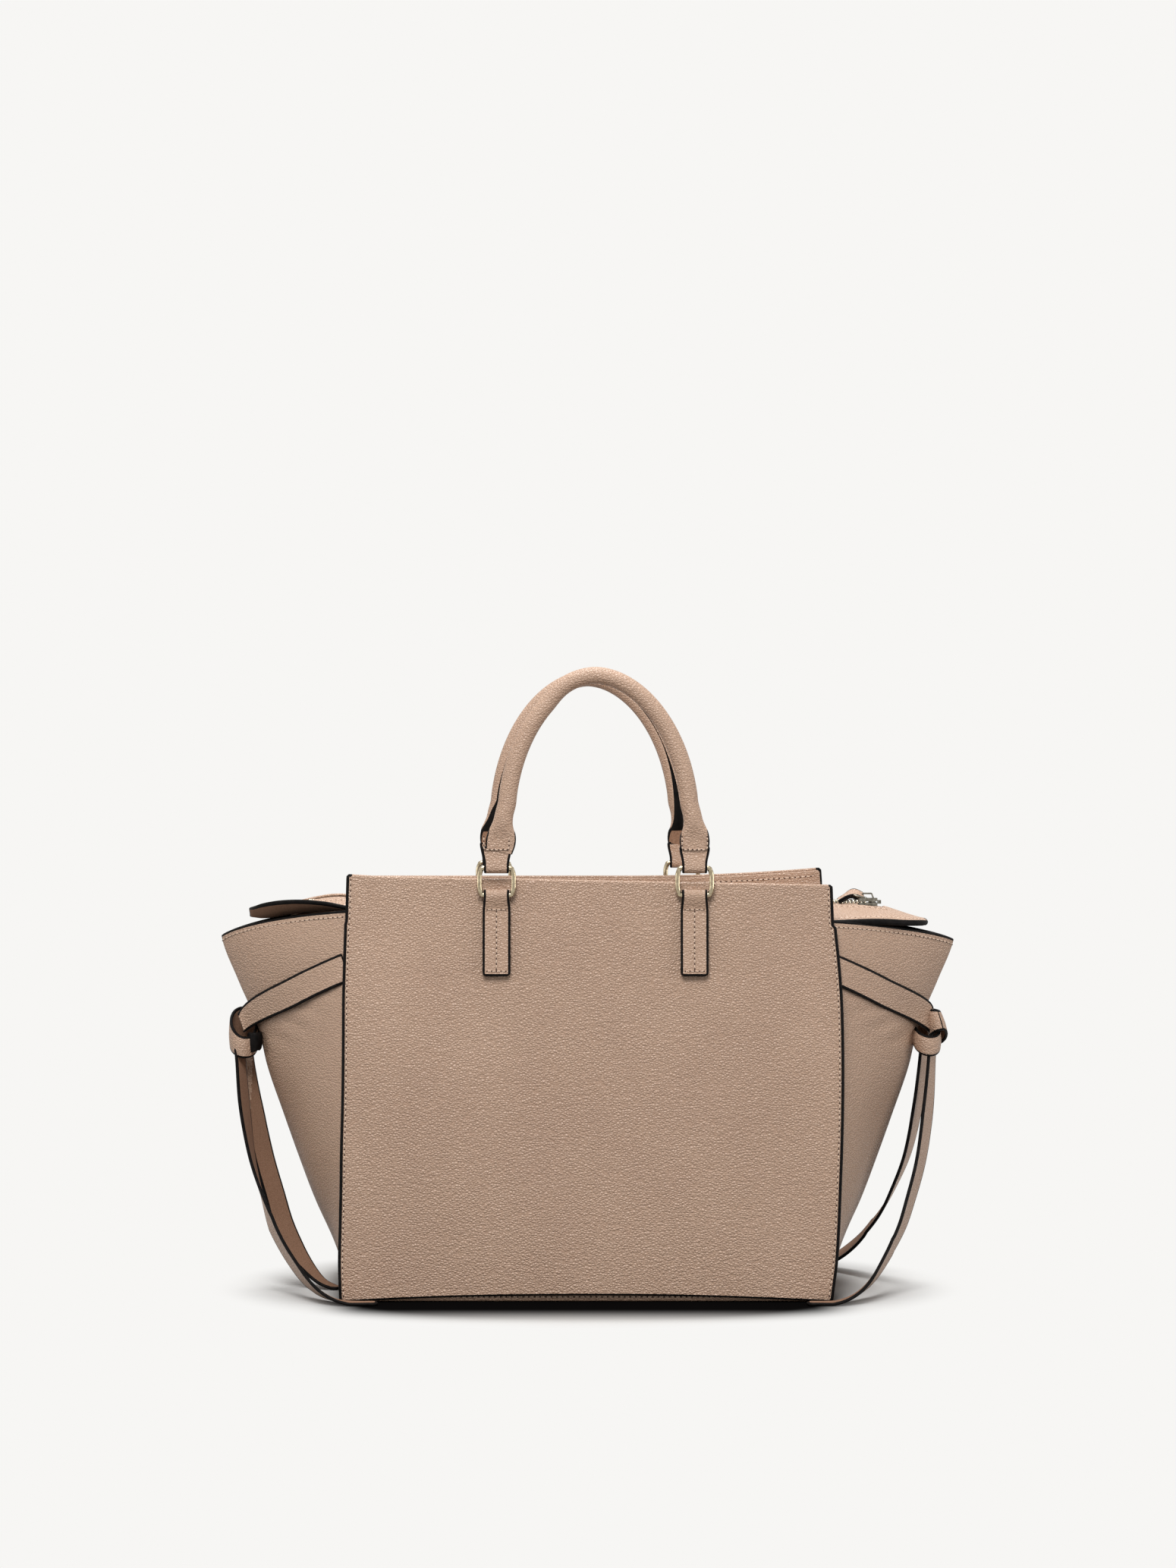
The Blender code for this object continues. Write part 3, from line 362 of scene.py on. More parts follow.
@dataclass(frozen=True)
class Finish:
    """What every finish has: a name, a plain colour, a roughness, a metal share and a gloss."""

    name: str = "plain"
    colour: str = "b0937f"
    roughness: float = 0.5
    metallic: float = 0.0
    gloss: float = 0.5

    def material(self) -> bpy.types.Material:
        """Make the finish's material, or find it where it is made already.

        Returns:
            The material.
        """
        made = bpy.data.materials.get(self.name)
        if made is None:
            made = bpy.data.materials.new(self.name)
            made.use_nodes = True
            shader = made.node_tree.nodes["Principled BSDF"]
            shader.inputs["Base Color"].default_value = linear(self.colour)
            shader.inputs["Roughness"].default_value = self.roughness
            shader.inputs["Metallic"].default_value = self.metallic
            shader.inputs["Specular IOR Level"].default_value = self.gloss
            self.dress(Nodes(made.node_tree, shader))
        return made

    def dress(self, nodes: Nodes) -> None:
        """Add the finish's own nodes."""


@dataclass(frozen=True)
class PebbledLeather(Finish):
    """Cowhide, tumbled so that its grain shrinks into flat pebbles a little wider than tall."""

    name: str = "tumbled_cowhide"
    colour: str = "b2937c"
    gloss: float = 0.7
    light: str = "b79881"
    shade: str = "ac8d77"
    # Colour of the valleys between pebbles: painted shade in the creases
    crease: str = "8e6d57"
    pebble: float = 0.0019
    flatness: float = 1.5
    relief: float = 0.0006
    strength: float = 0.62

    def pebbles(self, nodes: Nodes, place: Socket) -> tuple[Socket, Socket]:
        """Cells with wandering walls: flat domes with valleys between them, and pores on both.

        Args:
            nodes: The material's nodes.
            place: Object coordinates.

        Returns:
            The valleys, nought on their floor and one off them, and the height of the skin.
        """
        flat = nodes.add("Mapping", {"Scale": (1, 1, self.flatness)}, {"Vector": place})
        noise = {"Scale": 0.35 / self.pebble, "Detail": 2.0}
        warp = nodes.add("TexNoise", noise, {"Vector": flat}, "Color")
        shift = nodes.add("VectorMath", {"operation": "SCALE", "Scale": self.pebble * 0.9}, {0: warp})
        bent = nodes.add("VectorMath", {"operation": "ADD"}, {0: flat, 1: shift})
        parts = []
        for feature, limits in (
            ("DISTANCE_TO_EDGE", {"From Max": 0.13}),
            ("F1", {"From Max": 0.85, "To Min": 1.3, "To Max": 0.0}),
        ):
            cell = {"feature": feature, "Scale": 1 / self.pebble}
            cells = nodes.add("TexVoronoi", cell, {"Vector": bent}, "Distance")
            soft = {"interpolation_type": "SMOOTHSTEP", **limits}
            parts.append(nodes.add("MapRange", soft, {"Value": cells}))
        valley, dome = parts
        pores = nodes.add("TexNoise", {"Scale": 3.2 / self.pebble, "Detail": 3.0}, {"Vector": place})
        skin = dome
        for source, share in ((valley, 0.5), (pores, 0.25)):
            skin = nodes.add("Math", {"operation": "MULTIPLY_ADD", 1: share}, {0: source, 2: skin})
        return valley, skin

    def dress(self, nodes: Nodes) -> None:
        """Pebbles in bump, creases duller and darkened by painted shade, blotches of tanning.

        Args:
            nodes: The material's nodes.
        """
        place = nodes.add("TexCoord", out="Object")
        valley, skin = self.pebbles(nodes, place)
        bump = {"Strength": self.strength, "Distance": self.relief}
        nodes.feed("Normal", nodes.add("Bump", bump, {"Height": skin}))
        spread = {"Scale": 11.0, "Detail": 4.0, "Roughness": 0.6}
        blotch = nodes.add("TexNoise", spread, {"Vector": place})
        tanned = nodes.ramp(blotch, ((0.32, self.shade), (0.52, self.colour), (0.72, self.light)))
        # Painted shade: the crease colour darkens the valley floors by up to four tenths
        crease_shade_share = nodes.add("MapRange", {"To Min": 0.4, "To Max": 0.0}, {"Value": valley})
        crease = {"data_type": "RGBA", 7: linear(self.crease)}
        nodes.feed("Base Color", nodes.add("Mix", crease, {"Factor": crease_shade_share, 6: tanned}, 2))
        dull = {"To Min": self.roughness + 0.12, "To Max": self.roughness - 0.04}
        nodes.feed("Roughness", nodes.add("MapRange", dull, {"Value": valley}))


@dataclass(frozen=True)
class Mottled(Finish):
    """Anything with one size of speck, in two tones and in bump."""

    speck: float = 0.001
    detail: float = 3.0
    tones: Tones = ()
    strength: float = 0.3
    relief: float = 0.0003

    def dress(self, nodes: Nodes) -> None:
        """Noise of the speck's size in colour and bump.

        Args:
            nodes: The material's nodes.
        """
        place = nodes.add("TexCoord", out="Object")
        noise = {"Scale": 1 / self.speck, "Detail": self.detail}
        specks = nodes.add("TexNoise", noise, {"Vector": place})
        nodes.feed("Base Color", nodes.ramp(specks, self.tones))
        bump = {"Strength": self.strength, "Distance": self.relief}
        nodes.feed("Normal", nodes.add("Bump", bump, {"Height": specks}))


@dataclass(frozen=True)
class SplitSuede(Mottled):
    """The rough flesh side of the hide: short nap, darker and redder than the grain side."""

    name: str = "split_suede"
    colour: str = "826350"
    roughness: float = 0.9
    speck: float = 0.0006
    detail: float = 5.0
    tones: Tones = ((0.3, "74543f"), (0.7, "96745d"))
    strength: float = 0.5
    relief: float = 0.0002


@dataclass(frozen=True)
class EdgePaint(Mottled):
    """Several coats of black acrylic edge paint, burnished: nearly matt, wavy, rubbed in places."""

    name: str = "edge_paint"
    colour: str = "0f0d0d"
    gloss: float = 0.05
    speck: float = 1 / 260
    tones: Tones = ((0.35, "0b0a0a"), (0.75, "191615"))


@dataclass(frozen=True)
class Fibreboard(Mottled):
    """Pressed fibre stiffener: dull, mottled, with short flecks."""

    name: str = "pressed_fibreboard"
    colour: str = "7a6a58"
    roughness: float = 0.92
    speck: float = 1 / 300
    detail: float = 6.0
    tones: Tones = ((0.3, "655645"), (0.75, "8b7a66"))


@dataclass(frozen=True)
class WaxedThread(Finish):
    """Waxed polyester thread: twisted plies with a low gloss."""

    name: str = "waxed_thread"
    colour: str = "d3bba6"
    ply: float = 0.0007
    tones: Tones = ((0.2, "b79c86"), (0.8, "dcc5b1"))

    def dress(self, nodes: Nodes) -> None:
        """Diagonal bands for the plies.

        Args:
            nodes: The material's nodes.
        """
        place = nodes.add("TexCoord", out="Object")
        bands = {"Scale": 0.3 / self.ply, "bands_direction": "DIAGONAL", "Distortion": 1.0}
        plies = nodes.add("TexWave", bands, {"Vector": place}, "Fac")
        nodes.feed("Base Color", nodes.ramp(plies, self.tones))
        bump = {"Strength": 0.4, "Distance": 0.0001}
        nodes.feed("Normal", nodes.add("Bump", bump, {"Height": plies}))


@dataclass(frozen=True)
class WovenCloth(Finish):
    """Plain woven cotton twill: over and under threads with slubs, quite matt."""

    name: str = "lining_twill"
    colour: str = "8c7665"
    light: str = "a08a79"
    dark: str = "6e5b4d"
    roughness: float = 0.86
    thread: float = 0.0007

    def dress(self, nodes: Nodes) -> None:
        """Two crossed sets of threads, the higher one showing, with slubs.

        Args:
            nodes: The material's nodes.
        """
        place = nodes.add("TexCoord", out="Object")
        bands = {"Scale": 0.32 / self.thread, "Distortion": 0.6, "Detail": 1.0}
        ways = [{**bands, "bands_direction": way} for way in "XZ"]
        sets = [nodes.add("TexWave", way, {"Vector": place}, "Fac") for way in ways]
        weave = nodes.add("Math", {"operation": "MAXIMUM"}, dict(enumerate(sets)))
        slubs = nodes.add("TexNoise", {"Scale": 140.0, "Detail": 3.0}, {"Vector": place})
        mixed = nodes.add("Math", {"operation": "MULTIPLY_ADD", 1: 0.6}, {0: slubs, 2: weave})
        tones = ((0.35, self.dark), (0.85, self.colour), (1.0, self.light))
        nodes.feed("Base Color", nodes.ramp(mixed, tones))
        bump = {"Strength": 0.45, "Distance": 0.00025}
        nodes.feed("Normal", nodes.add("Bump", bump, {"Height": mixed}))


@dataclass(frozen=True)
class PlatedMetal(Finish):
    """Polished zinc alloy under a thin plating: mirror bright, with faint wipe marks."""

    name: str = "pale_gold_plating"
    colour: str = "93856d"
    wiped: str = "c6b99d"
    roughness: float = 0.16
    metallic: float = 1.0

    def dress(self, nodes: Nodes) -> None:
        """Wipe marks in roughness and a trace of tone.

        Args:
            nodes: The material's nodes.
        """
        place = nodes.add("TexCoord", out="Object")
        wiping = nodes.add("TexNoise", {"Scale": 420.0, "Detail": 4.0}, {"Vector": place})
        nodes.feed("Base Color", nodes.ramp(wiping, ((0.3, self.colour), (0.8, self.wiped))))
        dull = {"To Min": self.roughness - 0.06, "To Max": self.roughness + 0.12}
        nodes.feed("Roughness", nodes.add("MapRange", dull, {"Value": wiping}))


@dataclass(frozen=True)
class Cover:
    """The finishes of a kind of piece, in the order of Mark, and a slot name that is not used."""

    slot: str
    finishes: tuple[Finish, ...]


GOLD = PlatedMetal()
NICKEL = PlatedMetal(name="pale_nickel_plating", colour="5f5b52", wiped="9a958a", roughness=0.2)
TOOTH = PlatedMetal(name="zip_tooth_plating", colour="bdb5a2", wiped="dad5c6", roughness=0.24)
TWILL = WovenCloth()
WEBBING = WovenCloth(
    name="zip_tape_weave", colour="b89d89", light="c9b09d", dark="977d6b", thread=0.0009
)
SMOOTH_COWHIDE = PebbledLeather(name="stretched_cowhide", strength=0.55, relief=0.0005)
# Flat dark beads at the needle holes: painted shade of the holes' hollows
NEEDLE_HOLE_SHADE = Finish(name="needle_hole_shade", colour="4f392e", roughness=0.9)
SEWN = (EdgePaint(), SplitSuede(), WaxedThread(), NEEDLE_HOLE_SHADE)
LEATHER = Cover("pebbled_leather", (PebbledLeather(), *SEWN))
STRAP = Cover("pebbled_leather", (SMOOTH_COWHIDE, *SEWN))
CLOTH = Cover("woven_lining", (TWILL,))
# A hem's needle holes close on their thread, so they show as thread
SEWN_CLOTH = Cover("woven_lining", (TWILL, TWILL, TWILL, WaxedThread(), WaxedThread()))
TAPE = Cover("zip_tape", (WEBBING,))
TEETH = Cover("zip_teeth_metal", (TOOTH,))
RING_METAL = Cover("pale_brass", (GOLD,))
PULL_METAL = Cover("pale_brass", (NICKEL,))


# ---------------------------------------------------------------- building meshes


def everywhere(points: Array) -> Array:
    """True for each point: the whole edge of a sheet is turned rather than painted."""
    return np.full(len(points), True)


@dataclass
class Work:
    """Surfaces gathered for one piece, each face with the number of its finish."""

    points: list[Array] = field(default_factory=list)
    faces: list[list[int]] = field(default_factory=list)
    marks: list[int] = field(default_factory=list)
    count: int = 0

    def place(self, points: Array) -> int:
        """Add points.

        Args:
            points: The points, in any shape that ends in three.

        Returns:
            The number of the first.
        """
        first = self.count
        self.points.append(points.reshape(-1, 3))
        self.count += len(self.points[-1])
        return first

    def join(self, faces: Array, mark: int | Array) -> None:
        """Add faces among points that are there, with one finish number or one per face."""
        self.faces.extend(faces.tolist())
        self.marks.extend(np.broadcast_to(mark, len(faces)).tolist())

    def hide(
        self,
        grid: Array,
        thick: float | Array,
        marks: tuple[int, int, int | Array] = PAINTED,
        keep: bool | Array = True,
        bare: Callable[[Array], Array] | None = None,
        flip: bool = False,
    ) -> None:
        """A sheet of leather about a grid, with a rounded edge all round.

        The two faces stand half the thickness off the grid along its normals, and the edge
        between them is a half circle that bulges out from the rim. The rim is every edge that
        only one kept quad has; outwards there is the edge's direction crossed with the normal.
        The outermost ring of quads on both faces is painted like the edge.

        Args:
            grid: Points of the sheet's middle surface, rows by columns.
            thick: The leather's thickness, one value or one per point.
            marks: Finish numbers of the outer face, the edge and the inner face.
            keep: Which quads the sheet has.
            bare: Tells for rim points whether the edge there is turned rather than painted.
            flip: Whether the outer face is the other one.
        """
        rows, cols = grid.shape[:2]
        quads = (rows - 1, cols - 1)
        parts = [grid, np.broadcast_to(thick, (rows, cols))]
        parts += [np.broadcast_to(part, quads) for part in (keep, marks[2])]
        grid, thick, keep, inner = [part[:, ::-1] for part in parts] if flip else parts
        points, up = grid.reshape(-1, 3), grid_normals(grid).reshape(-1, 3)
        keep, half = keep.reshape(-1), thick.reshape(-1, 1) / 2
        faces, inner = grid_faces(rows, cols)[keep], inner.reshape(-1)[keep]
        edges = np.stack([faces, np.roll(faces, -1, axis=1)], axis=-1).reshape(-1, 2)
        codes = edges @ np.array([len(points), 1]), edges @ np.array([1, len(points)])
        rim = edges[~np.isin(*codes)]
        side = unit(np.cross(points[rim[:, 1]] - points[rim[:, 0]], up[rim[:, 0]]))
        out = np.zeros_like(points)
        for corner in rim.T:
            np.add.at(out, corner, side)
        painted = np.zeros(len(points), dtype=bool)
        painted[rim] = True
        if bare is not None:
            painted &= ~bare(points)
        edge = painted[faces].any(axis=1)
        used, slots = np.unique(faces, return_inverse=True)
        slots = slots.reshape(faces.shape)
        lookup = np.zeros(len(points), dtype=int)
        lookup[used] = np.arange(len(used))
        rise, reach = up * half, unit(out) * half
        top = self.place((points + rise)[used])
        self.join(slots + top, np.where(edge, marks[1], marks[0]))
        low = self.place((points - rise)[used])
        self.join(slots[:, ::-1] + low, np.where(edge, marks[1], inner))
        corners, seats = np.unique(rim, return_inverse=True)
        seats = seats.reshape(rim.shape)
        turns = np.linspace(0, math.pi, EDGE_STEPS + 1)[1:-1, None, None]
        bead = points[corners] + rise[corners] * np.cos(turns) + reach[corners] * np.sin(turns)
        first = self.place(bead)
        rings = [first + step * len(corners) + seats for step in range(EDGE_STEPS - 1)]
        rings = [top + lookup[rim], *rings, low + lookup[rim]]
        shade = np.where(painted[rim].any(axis=1), marks[1], marks[0])
        for near, far in zip(rings, rings[1:]):
            self.join(np.stack([near[:, 0], far[:, 0], far[:, 1], near[:, 1]], axis=1), shade)

    def tubes(self, rings: Array, mark: int | Array = Mark.GRAIN, closed: bool = False) -> None:
        """Skins round runs of rings.

        Args:
            rings: Runs of rings of points; the first axes count the runs.
            mark: One finish number, or for a single run one per face.
            closed: Whether a run closes on itself rather than ends in two caps.
        """
        rows, cols = rings.shape[-3:-1]
        runs = rings.size // (rows * cols * 3)
        starts = self.place(rings) + np.arange(runs)[:, None, None] * (rows * cols)
        quads = grid_faces(rows, cols, closed, True)
        self.join((quads + starts).reshape(-1, 4), mark)
        if not closed:
            caps = np.stack([np.arange(cols)[::-1], (rows - 1) * cols + np.arange(cols)])
            ends = np.broadcast_to(mark, len(quads))[[0, -1]]
            self.join((caps + starts).reshape(-1, cols), np.tile(ends, runs))

    def stitch(
        self, path: Array, normals: Array, pitch: float = 0.0037, length: float = 0.0026
    ) -> None:
        """A run of saddle stitches with a needle hole between each two.

        A stitch is a six sided bead that swells to its middle and dips at both ends; a hole is a flat
        dark bead, painted shade in place of the needle hole's hollow. Each is one template, set along
        the path with the surface's normal.

        Args:
            path: Points of the seam on the leather's face.
            normals: The face's normals there, one per point or one for all.
            pitch: Distance from hole to hole.
            length: Length of the thread that shows.
        """
        width, sides = STITCH_WIDTH, STITCH_SIDES
        reach, normals = along(path), np.broadcast_to(normals, path.shape)
        count = max(2, int(round(reach[-1] / pitch)))
        step = reach[-1] / count
        turns = np.arange(sides) * math.tau / sides
        stations, swell = (np.array(row)[:, None] for row in (STITCH_PLACES, STITCH_SWELL))
        threads = ((np.arange(count) + 0.5) * step, length, width, width, Mark.THREAD)
        # Needle holes as flat dark beads: painted shade
        hole = (pitch - length) * 1.2
        holes = (np.arange(count + 1) * step, hole, width * 1.1, width * 0.3, Mark.HOLE)
        for places, long, wide, high, mark in (threads, holes):
            centre = resample(path, places)
            up = resample(normals, places, reach)
            ahead = unit(resample(path, places + pitch / 4) - resample(path, places - pitch / 4))
            up = unit(up - ahead * np.sum(up * ahead, axis=1, keepdims=True))
            offsets = (
                (ahead, stations * long * np.ones(sides)),
                (np.cross(up, ahead), swell * np.cos(turns) * wide),
                (up, swell * np.sin(turns) * high + (0.25 - stations**2) * high),
            )
            bead = sum(way[:, None, None] * offset[..., None] for way, offset in offsets)
            self.tubes(centre[:, None, None] + bead, mark)

    def build(
        self,
        name: str,
        cover: Cover,
        node: str = "",
        body: str = "bag",
        blend: tuple[str, Triple, Triple] | None = None,
    ) -> None:
        """Make the piece's object and parent it to its body, or bake its place in where it blends.

        Args:
            name: The piece's name.
            cover: Its finishes.
            node: The solid that it stands for, where there is one.
            body: The body it rides on.
            blend: The body that the piece passes over to, and the points where that starts and ends;
            only whether it is given is read, and then the piece rides on no body.
        """
        mesh = bpy.data.meshes.new(name)
        mesh.from_pydata(np.concatenate(self.points).tolist(), [], self.faces)
        mesh.polygons.foreach_set("material_index", self.marks)
        mesh.polygons.foreach_set("use_smooth", [True] * len(self.faces))
        mesh.update()
        made = bpy.data.objects.new(name, mesh)
        bpy.context.scene.collection.objects.link(made)
        for finish in cover.finishes:
            mesh.materials.append(finish.material())
        if blend:
            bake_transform(made)
        else:
            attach(made, body)
        if node:
            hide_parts(node)
        LOG.info("%s: %d faces", name, len(self.faces))


def coat(node: str, finish: Finish) -> None:
    """Give a carried-over solid a better finish.

    Args:
        node: The solid's name.
        finish: What it is made of.
    """
    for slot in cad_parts[node].material_slots:
        slot.material = finish.material()
    LOG.info("%s: %s", node, finish.name)


# ---------------------------------------------------------------- the bag's form


@dataclass(frozen=True)
class Shell:
    """The bag's own form: leaning panels, and gussets whose folds stand out as wings."""

    height: float = 0.278
    top_half: float = 0.1605
    widest_half: float = 0.1655
    foot_half: float = 0.164
    widest_height: float = 0.135
    top_depth: float = 0.058
    foot_depth: float = 0.074
    seam_inset: float = 0.0035
    seam_depth: float = 0.0033
    wing_reach: float = 0.2484
    wing_tip: float = 0.237
    wing_seams: tuple[float, float] = (0.2562, 0.2496)
    wing_tips: tuple[float, float] = (0.237, 0.2345)
    wing_bows: tuple[float, float] = (0.55, 0.38)
    wing_round: float = 1.25
    folds: tuple[float, ...] = (0.0, 0.119, 0.274, 0.403, 0.524, 0.641, 0.725, 0.870, 1.0)

    def depth(self, height: Array) -> Array:
        """Distance of a panel's outer face from the middle plane: straight from foot to top."""
        return lerp(self.foot_depth, self.top_depth, height / self.height)

    def half(self, height: Array) -> Array:
        """Half width of a panel: a square law narrowing above and below its widest height.

        Args:
            height: Heights above the floor.

        Returns:
            Distances from the middle.
        """
        up = (height - self.widest_height) / (self.height - self.widest_height)
        down = 1 - height / self.widest_height
        above = lerp(self.widest_half, self.top_half, up**2)
        below = lerp(self.widest_half, self.foot_half, down**2)
        return np.where(height > self.widest_height, above, below)

    def fold(self, height: Array) -> Array:
        """Reach of the wing's fold: a smooth curve through the equally spaced shares.

        Args:
            height: Heights above the floor.

        Returns:
            Distances from the middle.
        """
        place = np.clip(height / self.wing_tip, 0, 1.08) * (len(self.folds) - 1)
        reach = catmull(np.array(self.folds)[:, None], place.reshape(-1)).reshape(np.shape(height))
        return lerp(self.half(np.zeros(1))[0] - self.seam_inset, self.wing_reach, reach)

    def wing_top(self, side: Side, turn: Array) -> Array:
        """Height of a wing's upper edge: bowed down from the seams to the tip.

        Args:
            side: Which end of the bag.
            turn: Places from seam to seam, nought at the fold.

        Returns:
            The heights.
        """
        pick, share = int(side is Side.RIGHT), 1 - np.abs(turn)
        seam, tip, bow = (pair[pick] for pair in (self.wing_seams, self.wing_tips, self.wing_bows))
        return lerp(seam, tip, lerp(share, share**2, bow))

    def wing(self, side: Side, turn: Array, height: Array, out: float | Array = 0.0) -> Array:
        """Points of a wing.

        The reach falls from the fold to the seam with the turn to the power of the wing's
        roundness, and the depth is the turn's share of the panel's depth.

        Args:
            side: Which end of the bag.
            turn: Minus one at the front seam, nought at the fold, one at the rear seam.
            height: Heights above the floor.
            out: Distance outside the wing's middle surface.

        Returns:
            The points.
        """
        seam = self.half(height) - self.seam_inset
        depth = self.depth(height) - self.seam_depth + out
        spread = self.fold(height) - seam
        slope = self.wing_round * spread * np.abs(turn) ** (self.wing_round - 1) / depth
        push = out * (np.hypot(1, slope) - np.abs(turn) * slope)
        reach = seam + spread * (1 - np.abs(turn) ** self.wing_round) + push
        return spots(side.value * reach, depth * turn, height)


SHELL = Shell()

# Half widths in millimetres of the front panel's left and right side, from its foot to the gusset's
# top edge
SIDES = (
    (163.7, 161.3),
    (164.5, 164.4),
    (164.1, 166.1),
    (163.7, 167.2),
    (163.5, 168.2),
    (162.9, 168.9),
    (162.6, 169.2),
    (162.5, 169.1),
    (162.5, 168.4),
    (161.9, 166.6),
    (161.3, 164.4),
)


@dataclass(frozen=True)
class Layer:
    """A sheet of a main panel: heights, inset from the sides, place behind the outer face."""

    low: float
    high: float
    inset: float
    behind: float
    counts: tuple[int, int]
    thick: float
    outside: bool = False
    ripple: float = 0.0


HIDE = Layer(0.0012, 0.278, 0.0011, 0.0011, (60, 80), 0.0022, True, 0.0006)
FACING = Layer(0.255, 0.2768, 0.0022, 0.0032, (8, 40), 0.0014)
LINING = Layer(0.0062, 0.2515, 0.0062, 0.0051, (20, 24), 0.0007)


@dataclass
class Panels:
    """The two flat main panels with their facings, linings and the pocket."""

    foot_arch: float = 0.0046
    paint: float = 0.0010
    stitch_inset: float = 0.0031
    free_edge: float = 0.0030
    turned_rim: float = 0.0022
    gusset_top: float = 0.2465
    facing_seam: float = 0.2735
    pocket_half: float = 0.075
    pocket_low: float = 0.095
    pocket_high: float = 0.205
    pocket_hem: float = 0.199
    pocket_behind: float = 0.0062
    pocket_thick: float = 0.0008

    def top_shift(self, face: Face, x: Array) -> Array:
        """How far the top edge stands off its mean height: the front falls to the right.

        Args:
            face: Which panel.
            x: Places across.

        Returns:
            Heights above the mean.
        """
        if face is Face.FRONT:
            corner = 0.0012 * np.clip((-x - 0.125) / 0.035, 0, 1) ** 2
            return -0.0030 * x / 0.16 - 0.0020 + corner
        return -0.0026 + 0.0056 * np.clip((x - 0.03) / 0.13, 0, 1) ** 2

    def reach(self, face: Face, side: Array, height: Array) -> Array:
        """Half width of a panel on one side.

        The front's sides follow the curves through equally spaced keys up to the gusset's top,
        where each steps in to the straight free edge; the rear follows the shell, its right
        corner standing a little further out.

        Args:
            face: Which panel.
            side: Negative left of the middle, positive right.
            height: Heights above the floor.

        Returns:
            Distances from the middle plane.
        """
        height, side = np.broadcast_arrays(height, side)
        if face is Face.REAR:
            corner = 0.0019 * ease((height - 0.22) / 0.05) * (side > 0)
            return SHELL.half(height) + corner - 0.0012 * np.clip(1 - height / 0.036, 0, 1) ** 1.6
        left, right = curves(SIDES, height / 0.25)
        free = ease((height - self.gusset_top) / 0.003)
        up = (height - 0.25) / 0.028
        left, right = lerp(left, 0.1607 - 0.0007 * up, free), lerp(right, 0.1628 - 0.0008 * up, free)
        return np.where(side > 0, right, left)

    def skin(
        self, face: Face, x: Array, z: Array, behind: float = 0.0, ripple: float = HIDE.ripple
    ) -> Array:
        """Points on a panel's outer face or on a layer behind it.

        The ripples are products of slow sines that fade out at the edges.

        Args:
            face: Which panel.
            x: Places across.
            z: Heights.
            behind: Distance of the layer behind the outer face.
            ripple: Height of the ripples.

        Returns:
            The points.
        """
        wave = np.sin(x * 21 + 1.1) * np.sin(z * 27 + 0.6) + 0.6 * np.sin(x * 43 + z * 31 + 2.0)
        inside, below = SHELL.half(z) - np.abs(x), SHELL.height - z
        calm = np.clip(inside / 0.02, 0, 1) * np.clip(below / 0.03, 0, 1)
        return spots(x, face.value * (SHELL.depth(z) - behind + ripple * wave * calm), z)

    def grid(self, face: Face, layer: Layer) -> Array:
        """Middle surface of a layer parallel to a panel.

        Each row is as wide as the panel there, less the inset; the foot's arch is a parabola
        that fades out upwards.

        Args:
            face: Which panel.
            layer: Which sheet of it.

        Returns:
            The grid.
        """
        low, high = layer.low, layer.high
        even = np.linspace(low + 0.006, high - 0.004, layer.counts[0])
        near = [low, low + 0.0002, low + self.paint, low + 0.003]
        near += [high - self.turned_rim, high - 0.0008, high]
        step_in = np.linspace(self.gusset_top - 0.0004, self.gusset_top + 0.0034, 7)
        z = np.unique(np.concatenate([even, near, step_in]).round(6))
        z = z[(z >= low - 1e-9) & (z <= high + 1e-9)][:, None]
        way = -face.value if layer.outside else face.value
        side = way * (2 * spaced(layer.counts[1], self.paint / 0.33, 0.006)[None] - 1)
        half = self.reach(face, side, z) - layer.inset
        x = side * (half - rounded_end(z - low, 1, 0.0016) - rounded_end(high - z, 1, 0.0009))
        if layer is HIDE:
            arch = 1 - (x / SHELL.foot_half) ** 2
            z = z + self.foot_arch * arch * np.clip(1 - (z - low) / 0.05, 0, 1) ** 1.5
        z = z + self.top_shift(face, x) * (z / SHELL.height) ** 8
        return self.skin(face, x, z, layer.behind, layer.ripple)

    def side_seams(self, work: Work, face: Face) -> None:
        """Rows of stitches just inside the painted side edges.

        Args:
            work: The panel's surfaces.
            face: Which panel.
        """
        for end in (-1.0, 1.0):
            z = np.linspace(0.004, 0.2755, 130)
            x = end * (self.reach(face, end, z) - self.stitch_inset)
            z = z + self.top_shift(face, x) * (z / SHELL.height) ** 8
            work.stitch(self.skin(face, x, z), (0.0, face.value, 0.06))

    def turned(self, face: Face, points: Array) -> Array:
        """Where the top edge is turned over, not painted: all of it but its ends at the sides.

        Args:
            face: Which panel.
            points: Points of the sheet.

        Returns:
            One truth per point.
        """
        x, z = points[:, 0], points[:, 2]
        high = SHELL.height - self.turned_rim + self.top_shift(face, x)
        return (z > high) & (np.abs(x) < self.reach(face, x, z) - self.free_edge)

    def build(self) -> None:
        """Build both panels, their facings, their linings and the pocket."""
        for face in Face:
            work = Work()
            work.hide(self.grid(face, HIDE), HIDE.thick, bare=partial(self.turned, face))
            self.side_seams(work, face)
            work.build(f"{face.word}_panel_leather", LEATHER, f"{face.word}_panel")
            work = Work()
            work.hide(self.grid(face, FACING), FACING.thick, bare=everywhere)
            x = np.linspace(-0.155, 0.155, 90)
            line = self.skin(face, x, self.facing_seam + self.top_shift(face, x), 0.0039, 0.0)
            work.stitch(line, (0.0, -face.value, 0.0))
            work.build(f"{face.word}_facing_leather", LEATHER, f"{face.word}_facing")
            work = Work()
            work.hide(self.grid(face, LINING), LINING.thick, PLAIN)
            work.build(f"{face.word}_lining_cloth", CLOTH, f"{face.word}_lining")
        self.pocket()

